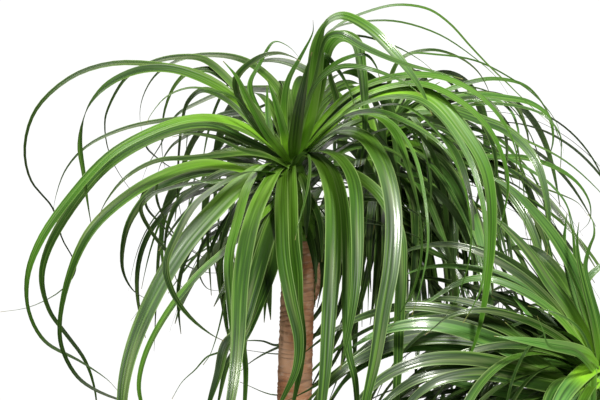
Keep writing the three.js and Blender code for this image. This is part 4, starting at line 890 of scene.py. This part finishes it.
# Millimetres of leaf, with each radian of bend counted as BEND_RUN, between two sections of a broad or narrow
# leaf, and how many sections a leaf has at least and at most.
BEND_RUN, BROAD_RUN, NARROW_RUN, BROAD_HALF = 120, 13, 18, 7.4
SECTIONS = (18, 54)
# What a blade needs at each point of its chain. On the stem tip, "around" stands in for "across".
CHAIN_DATA = ("edgeward", "half_width", "share", "run", "tint_and_shading", "fresh", "lit_paleness", "around", "tip")


def leaf_chains(name, head, leaves, lit_paleness):
    """One chain of points for each leaf, closer where it bends, and the stem tip that they grow from."""
    places, links, parts = [], [], []
    for leaf in leaves:
        bend = np.arccos(np.clip(np.sum(leaf["tangents"][1:] * leaf["tangents"][:-1], axis=1), -1, 1))
        effort = np.concatenate([[0], np.cumsum(leaf["length"] / (LEAF_SPOTS - 1) + BEND_RUN * bend)])
        section_run = BROAD_RUN if leaf["half"].max() > BROAD_HALF else NARROW_RUN
        count = int(np.clip(effort[-1] / section_run, *SECTIONS))
        shares = np.interp(np.linspace(0, effort[-1], count), effort, LEAF_SHARES)
        start = sum(map(len, places))
        places.append(read_at(LEAF_SHARES, shares, leaf["middle"]) * MM)
        links += [(start + spot, start + spot + 1) for spot in range(count - 1)]
        parts.append((count, {
            "edgeward": -unit(read_at(LEAF_SHARES, shares, leaf["sides"])),
            "half_width": np.interp(shares, LEAF_SHARES, leaf["half"]) * MM, "share": shares,
            "run": shares * leaf["length"] * MM, "tint_and_shading": leaf["tint_and_shading"], "fresh": leaf["fresh"],
            "lit_paleness": lit_paleness * leaf["tint_and_shading"]}))
    # The stem tip looks like the roots of young leaves. Its low tint is painted shade inside the crown.
    start = sum(map(len, places))
    spots, faces, turn, height = stem_tip(head)
    places.append(spots * MM)
    parts.append((len(spots), {
        "share": 0.2 - 0.16 * height, "run": height * 0.06, "tint_and_shading": 0.1, "fresh": 1.0, "tip": 1.0,
        "around": (turn * 40 + height * 3) % 1.6 - 0.8}))
    mesh = bpy.data.meshes.new(name)
    faces = [[start + corner for corner in face] for face in faces]
    mesh.from_pydata(np.concatenate(places).tolist(), links, faces)
    for key in CHAIN_DATA:
        values = [np.broadcast_to(own.get(key, 0.0), (count, 3) if key == "edgeward" else count)
                  for count, own in parts]
        point_attribute(mesh, key, np.concatenate(values))
    return mesh


def blade_tree():
    """Sweeps a channelled blade along each chain of points, and keeps the stem tip with them."""
    tree, given = new_tree("leaf_blades", {
        "Channel": "Float", "Thickness": "Float", "Sides": "Int", "Material": "Material"})
    tip, half, across, around = (add(tree, "GeometryNodeInputNamedAttribute", {"Name": name})
                                 for name in ("tip", "half_width", "across", "around"))
    edgeward = add(tree, "GeometryNodeInputNamedAttribute", {"Name": "edgeward"}, data_type="FLOAT_VECTOR")
    tip = add(tree, "FunctionNodeCompare", {0: tip, 1: 0.5}, operation="GREATER_THAN")
    parts = add(tree, "GeometryNodeSeparateGeometry", {
        "Geometry": given["Geometry"], "Selection": tip}).outputs
    chain = add(tree, "GeometryNodeMeshToCurve", {"Mesh": parts["Inverted"]})
    chain = add(tree, "GeometryNodeSetCurveNormal", {"Curve": chain, "Normal": edgeward}, mode="FREE")
    circle = add(tree, "GeometryNodeCurvePrimitiveCircle", {"Resolution": given["Sides"], "Radius": 1})
    spot = add(tree, "ShaderNodeSeparateXYZ", {0: add(tree, "GeometryNodeInputPosition")}).outputs
    rise = add(tree, "ShaderNodeMath", {0: spot["X"], 1: spot["X"]}, operation="MULTIPLY")
    rise = add(tree, "ShaderNodeMath", {0: rise, 1: given["Channel"]}, operation="MULTIPLY")
    rise = add(tree, "ShaderNodeMath", {0: spot["Y"], 1: given["Thickness"], 2: rise},
               operation="MULTIPLY_ADD")
    above = add(tree, "FunctionNodeCompare", {0: spot["Y"], 1: 0.0}, operation="GREATER_THAN")
    section = circle
    for name, value in (("above", above), ("across", spot["X"])):
        section = add(tree, "GeometryNodeStoreNamedAttribute", {
            "Geometry": section, "Name": name, "Value": value})
    section = add(tree, "GeometryNodeSetPosition", {
        "Geometry": section, "Position": add(tree, "ShaderNodeCombineXYZ", {"X": spot["X"], "Y": rise})})
    blades = add(tree, "GeometryNodeCurveToMesh", {
        "Curve": chain, "Profile Curve": section, "Scale": half, "Fill Caps": True})
    # The blade is smooth, with a crease along each margin.
    edge = add(tree, "ShaderNodeMath", {0: across}, operation="ABSOLUTE")
    edge = add(tree, "FunctionNodeCompare", {0: edge, 1: 0.999}, operation="GREATER_THAN")
    blades = add(tree, "GeometryNodeSetShadeSmooth", {"Geometry": blades, "Shade Smooth": True})
    blades = add(tree, "GeometryNodeSetShadeSmooth", {
        "Geometry": blades, "Selection": edge, "Shade Smooth": False}, domain="EDGE")
    stem = add(tree, "GeometryNodeStoreNamedAttribute", {
        "Geometry": parts["Selection"], "Name": "across", "Value": around})
    head = add(tree, "GeometryNodeJoinGeometry", {"Geometry": [blades, stem]})
    return end_tree(tree, head, given["Material"])


# ---------------------------------------------------------------- trunk

# Radius of the swollen base at each height.
BASE_PROFILE = [(170.3, 86), (234, 86), (243, 96), (259, 107), (279, 112), (301, 109), (323, 96), (342, 76),
                (358, 53), (371, 28)]
# Millimetres between two sections of a cane, and how many sections the base has.
CANE_STEP, BASE_ROWS = 1.6, 160
# How the bark of a cane and of the base is ringed and roughened, in metres.
CANE_BARK = {"Sides": 60, "Ring pitch": 0.0065, "Ring height": 0.0009, "Roughness": 0.0007}
BASE_BARK = {"Sides": 144, "Ring pitch": 0.012, "Ring height": 0.0008, "Roughness": 0.0022}


def stem_chain(name, line, radii):
    """A chain of points along a stem with its radius and the run along it."""
    mesh = bpy.data.meshes.new(name)
    mesh.from_pydata((line * MM).tolist(), [(spot, spot + 1) for spot in range(len(line) - 1)], [])
    point_attribute(mesh, "half_width", radii * MM)
    point_attribute(mesh, "run", runs(line) * MM)
    return mesh


def stem_tree():
    """Sweeps a round stem along a chain, ringed by leaf scars and roughened."""
    tree, given = new_tree("ringed_stems", {
        "Sides": "Int", "Ring pitch": "Float", "Ring height": "Float", "Roughness": "Float",
        "Material": "Material"})
    chain = add(tree, "GeometryNodeMeshToCurve", {"Mesh": given["Geometry"]})
    radius, run, ringed = (add(tree, "GeometryNodeInputNamedAttribute", {"Name": name})
                           for name in ("half_width", "run", "ring"))
    circle = add(tree, "GeometryNodeCurvePrimitiveCircle", {"Resolution": given["Sides"], "Radius": 1})
    stem = add(tree, "GeometryNodeCurveToMesh", {
        "Curve": chain, "Profile Curve": circle, "Scale": radius, "Fill Caps": True})
    place = add(tree, "GeometryNodeInputPosition")
    # Scars are unevenly spaced and wander a little round the stem.
    wander = add(tree, "ShaderNodeTexNoise", {"Vector": place, "Scale": 28, "Detail": 1})
    uneven = add(tree, "ShaderNodeTexNoise", {"W": run, "Scale": 60, "Detail": 1}, noise_dimensions="1D")
    phase = add(tree, "ShaderNodeMath", {0: run, 1: given["Ring pitch"]}, operation="DIVIDE")
    for noise, turns in ((wander, 2.2), (uneven, 2.0)):
        phase = add(tree, "ShaderNodeMath", {0: noise, 1: turns, 2: phase}, operation="MULTIPLY_ADD")
    phase = add(tree, "ShaderNodeMath", {0: phase}, operation="FRACT")
    ring = add(tree, "ShaderNodeMapRange", {"Value": phase, "From Max": 0.75},
               interpolation_type="SMOOTHSTEP")
    fall = add(tree, "ShaderNodeMapRange", {"Value": phase, "From Min": 0.86, "To Min": 1, "To Max": 0})
    ring = add(tree, "ShaderNodeMath", {0: ring, 1: fall}, operation="MULTIPLY")
    stem = add(tree, "GeometryNodeStoreNamedAttribute", {"Geometry": stem, "Name": "ring", "Value": ring})
    cork = add(tree, "ShaderNodeTexNoise", {"Vector": place, "Scale": 130, "Detail": 3})
    cork = add(tree, "ShaderNodeMath", {0: cork, 1: 0.5}, operation="SUBTRACT")
    lift = add(tree, "ShaderNodeMath", {0: cork, 1: given["Roughness"]}, operation="MULTIPLY")
    lift = add(tree, "ShaderNodeMath", {0: ringed, 1: given["Ring height"], 2: lift},
               operation="MULTIPLY_ADD")
    offset = add(tree, "ShaderNodeVectorMath", {0: add(tree, "GeometryNodeInputNormal"), "Scale": lift},
                 operation="SCALE")
    stem = add(tree, "GeometryNodeSetPosition", {"Geometry": stem, "Offset": offset})
    stem = add(tree, "GeometryNodeSetShadeSmooth", {"Geometry": stem, "Shade Smooth": True})
    return end_tree(tree, stem, given["Material"])


def make_trunk():
    tree = stem_tree()
    profile = np.array([(radius, 0, height) for height, radius in BASE_PROFILE], float)
    outline, _ = evenly(through(profile), BASE_ROWS)
    base = stem_chain("base", outline * (0, 0, 1), outline[:, 0])
    trunk = grown("swollen_base", base, tree, BASE_BARK | {"Material": bark_finish})
    canes = []
    for label, points in CANES.items():
        line, length = evenly(through(points), int(runs(points)[-1] / CANE_STEP))
        share = np.linspace(0, 1, len(line))
        radii = mix(CANE_FOOT, CANE_TOP, smooth(share * length / CANE_TAPER)) - CANE_LOSS * share
        radii = radii + CANE_FLARE * (1 - smooth(share * length / FLARE_LENGTH))
        cane = stem_chain(label, line, radii)
        canes.append(grown(f"{label}_cane", cane, tree, CANE_BARK | {"Material": bark_finish}))
        union = trunk.modifiers.new("grown_together", "BOOLEAN")
        union.operation, union.solver, union.object = "UNION", "MANIFOLD", canes[-1]
    trunk = evaluated("trunk_and_canes", trunk)
    for cane in canes:
        bpy.data.objects.remove(cane)
    finish_piece(trunk, "trunk")


# ---------------------------------------------------------------- pot and soil

POT_HEIGHT, POT_RIM, POT_FOOT, POT_WALL, POT_FLOOR, POT_ROUNDING, POT_SIDES = 245, 150, 108, 9, 12, 3, 144
# The rim's band: how far it comes down, how far it stands out, and the slope under it.
POT_BAND, BAND_STEP, BAND_RISE = 42, 6, 3
# How far the soil lies below the rim and how much it rises inwards, over which share of its radius, how far
# in its rings go and how uneven it is.
SOIL_DEPTH, SOIL_DOME, DOME_SHARE, INNER_SHARE, SOIL_UNEVEN = 22, 5, 0.4, 0.55, 1.2
SOIL_RINGS, SOIL_SIDES, SOIL_SEED = 26, 160, 5
# Crumbs to a square metre, their size and the ring that they are strewn over, in metres.
CRUMBS = {"Density": 110000, "Crumb size": 0.0024, "Inner": 0.087, "Outer": 0.128}


def pot_inside(height):
    return mix(POT_FOOT, POT_RIM - BAND_STEP, height / POT_HEIGHT) - POT_WALL


def rounded(points, radius, steps=5):
    """An open outline with each inner corner rounded."""
    points = np.asarray(points, float)
    outline = [points[:1]]
    share = np.linspace(0, 1, steps + 1)[:, None]
    for before, corner, after in zip(points, points[1:], points[2:]):
        cut = min(radius, np.linalg.norm(before - corner) / 2.2, np.linalg.norm(after - corner) / 2.2)
        start, end = corner + unit(before - corner) * cut, corner + unit(after - corner) * cut
        outline.append(start * (1 - share) ** 2 + corner * 2 * share * (1 - share) + end * share ** 2)
    return np.concatenate(outline + [points[-1:]])


def turned_form(name, outline, sides, finish):
    """A closed form turned on the upright axis. Its outline of (radius, height) starts and ends there."""
    mesh = bpy.data.meshes.new(name)
    form = bmesh.new()
    rings = []
    for radius, height in outline * MM:
        if radius < 1e-6:
            rings.append([form.verts.new((0, 0, height))] * sides)
        else:
            rings.append([form.verts.new((radius * math.cos(turn), radius * math.sin(turn), height))
                          for turn in np.arange(sides) * math.tau / sides])
    for lower, upper in zip(rings, rings[1:]):
        for side in range(sides):
            corners = [lower[side], lower[(side + 1) % sides], upper[(side + 1) % sides], upper[side]]
            form.faces.new(dict.fromkeys(corners)).smooth = True
    bmesh.ops.recalc_face_normals(form, faces=form.faces)
    form.to_mesh(mesh)
    mesh.materials.append(finish)
    return plain_object(name, mesh)


def make_pot():
    band = POT_HEIGHT - POT_BAND
    outside = pot_inside(band) + POT_WALL
    outline = rounded([
        (0, 0), (POT_FOOT, 0), (outside, band), (outside + BAND_STEP, band + BAND_RISE),
        (POT_RIM, POT_HEIGHT), (pot_inside(POT_HEIGHT), POT_HEIGHT), (pot_inside(POT_FLOOR), POT_FLOOR),
        (0, POT_FLOOR)], POT_ROUNDING)
    finish_piece(turned_form("clay_pot", outline, POT_SIDES, clay_finish), "pot")


def soil_tree():
    """Strews crumbs over the open soil between two distances from the middle."""
    tree, given = new_tree("strewn_crumbs", {
        "Density": "Float", "Crumb size": "Float", "Inner": "Float", "Outer": "Float",
        "Material": "Material"})
    spot = add(tree, "ShaderNodeSeparateXYZ", {0: add(tree, "GeometryNodeInputPosition")}).outputs
    away = add(tree, "ShaderNodeCombineXYZ", {"X": spot["X"], "Y": spot["Y"]})
    away = add(tree, "ShaderNodeVectorMath", {0: away}, operation="LENGTH")
    ring = add(tree, "FunctionNodeCompare", {0: away, 1: given["Inner"]}, operation="GREATER_THAN")
    within = add(tree, "FunctionNodeCompare", {0: away, 1: given["Outer"]}, operation="LESS_THAN")
    high = add(tree, "FunctionNodeCompare", {0: spot["Z"], 1: 0.2}, operation="GREATER_THAN")
    for limit in (within, high):
        ring = add(tree, "FunctionNodeBooleanMath", {0: ring, 1: limit}, operation="AND")
    spots = add(tree, "GeometryNodeDistributePointsOnFaces", {
        "Mesh": given["Geometry"], "Selection": ring, "Density": given["Density"], "Seed": 7})
    crumb = add(tree, "GeometryNodeMeshIcoSphere", {"Radius": 1, "Subdivisions": 1})
    form, turn = (
        add(tree, "FunctionNodeRandomValue", {0: least, 1: most, "Seed": seed}, data_type="FLOAT_VECTOR")
        for least, most, seed in (((0.4, 0.3, 0.22), (1.5, 0.9, 0.6), 3),
                                  ((-0.5, -0.5, 0), (0.5, 0.5, math.tau), 4)))
    form = add(tree, "ShaderNodeVectorMath", {0: form, "Scale": given["Crumb size"]}, operation="SCALE")
    crumbs = add(tree, "GeometryNodeInstanceOnPoints", {
        "Points": spots, "Instance": crumb, "Rotation": turn, "Scale": form})
    kind = add(tree, "FunctionNodeRandomValue", {2: 0.0, 3: 1.0, "Seed": 5})
    crumbs = add(tree, "GeometryNodeStoreNamedAttribute", {"Geometry": crumbs, "Name": "kind", "Value": kind},
                 domain="INSTANCE")
    crumbs = add(tree, "GeometryNodeRealizeInstances", {"Geometry": crumbs})
    soil = add(tree, "GeometryNodeJoinGeometry", {"Geometry": [given["Geometry"], crumbs]})
    return end_tree(tree, soil, given["Material"])


def make_soil():
    level = POT_HEIGHT - SOIL_DEPTH
    outer = pot_inside(level) - SEAT_GAP
    floor = POT_FLOOR + SEAT_GAP
    surface = [(outer * ring, level + SOIL_DOME * smooth((1 - ring) / DOME_SHARE))
               for ring in np.linspace(1, INNER_SHARE, SOIL_RINGS)]
    outline = np.array([(0, floor), (pot_inside(floor) - SEAT_GAP, floor)] + surface + [(0, surface[-1][1])])
    soil = turned_form("soil_surface", outline, SOIL_SIDES, soil_finish)
    draw = np.random.default_rng(SOIL_SEED)
    for vertex in soil.data.vertices:
        if vertex.co.z > level * MM - 1e-6 and vertex.co.xy.length < outer * MM - 1e-4:
            vertex.co.z += draw.uniform(-SOIL_UNEVEN, SOIL_UNEVEN) * MM
    bare = soil.data
    bpy.data.objects.remove(soil)
    soil = grown("soil_surface", bare, soil_tree(), CRUMBS | {"Material": soil_finish})
    finish_piece(soil, "soil")


# ---------------------------------------------------------------- the plant

# How far the lighter leaves of each head turn to a paler, cooler green, painted light for leaves in strong
# light, and a blade's section: how deep it is channelled and half its thickness, as shares of half its width.
LIT_PALENESS = {"main": 0.15, "low": 0.7, "rear": 0.6}
BLADE = {"Channel": 0.09, "Thickness": 0.04, "Sides": 14}

heads = grow_heads()
blades = blade_tree()
for label, leaves in heads.items():
    chains = leaf_chains(label, HEADS[label], leaves, LIT_PALENESS[label])
    crown = grown(f"{label}_crown_blades", chains, blades, BLADE | {"Material": leaf_finish})
    finish_piece(crown, f"{label}_crown_leaves")
make_trunk()
make_pot()
make_soil()

# ---------------------------------------------------------------- studio

# Metres from the middle to the floor's edge, and between which distances it fades out.
FLOOR_REACH, FLOOR_FADE = 1.6, (0.35, 1.5)
# Sun lamps: strength, width of the sun, tilt from overhead and turn from the viewer's side (degrees).
LAMPS = {
    "left_softbox": (1.8, 11, 42, -38), "right_softbox": (3.9, 11, 44, 34), "front_light": (0.35, 20, 72, 0),
    "back_light": (0.9, 40, -48, 25),
}
LAMP_COLOUR = (1, 0.985, 0.94)


def make_floor():
    """A plain pale floor that fades into the white behind it."""
    material, tree, shader = new_material("pale_floor")
    place = add(tree, "ShaderNodeTexCoord").outputs["Object"]
    grain = add(tree, "ShaderNodeTexNoise", {"Vector": place, "Scale": 3})
    away = add(tree, "ShaderNodeVectorMath", {0: place}, operation="LENGTH").outputs["Value"]
    here = add(tree, "ShaderNodeMapRange", {
        "Value": away, "From Min": FLOOR_FADE[0], "From Max": FLOOR_FADE[1], "To Min": 1, "To Max": 0},
        interpolation_type="SMOOTHSTEP")
    body = painted(tree, "#E3E3E1", [(grain, (0, 1), (0, 1), "#E8E8E6")])
    set_inputs(tree, shader, {"Base Color": body, "Alpha": here, "Roughness": 0.9})
    mesh = bpy.data.meshes.new("pale_floor")
    corners = [(FLOOR_REACH * x, FLOOR_REACH * y, 0) for x, y in ((-1, -1), (1, -1), (1, 1), (-1, 1))]
    mesh.from_pydata(corners, [], [(0, 1, 2, 3)])
    mesh.materials.append(material)
    plain_object("pale_floor", mesh)


def light_studio():
    """A white that only the camera sees, a faint warm fill for the rest, and the lamps."""
    world = bpy.data.worlds.new("studio_white")
    bpy.context.scene.world = world
    world.use_nodes = True
    tree = world.node_tree
    tree.nodes.clear()
    seen = add(tree, "ShaderNodeBackground", {"Color": (1, 1, 1, 1), "Strength": 1.05})
    fill = add(tree, "ShaderNodeBackground", {"Color": linear("#F6F3E2"), "Strength": 0.06})
    by_camera = add(tree, "ShaderNodeLightPath").outputs["Is Camera Ray"]
    choose = add(tree, "ShaderNodeMixShader", {0: by_camera, 1: fill, 2: seen})
    add(tree, "ShaderNodeOutputWorld", {"Surface": choose})
    for name, (strength, width, tilt, turn) in LAMPS.items():
        lamp = bpy.data.lights.new(name, "SUN")
        lamp.energy, lamp.angle, lamp.color = strength, math.radians(width), LAMP_COLOUR
        light = bpy.data.objects.new(name, lamp)
        light.rotation_euler = (math.radians(tilt), 0, math.radians(turn))
        bpy.context.scene.collection.objects.link(light)


make_floor()
light_studio()
bpy.context.scene.view_settings.view_transform = "Standard"
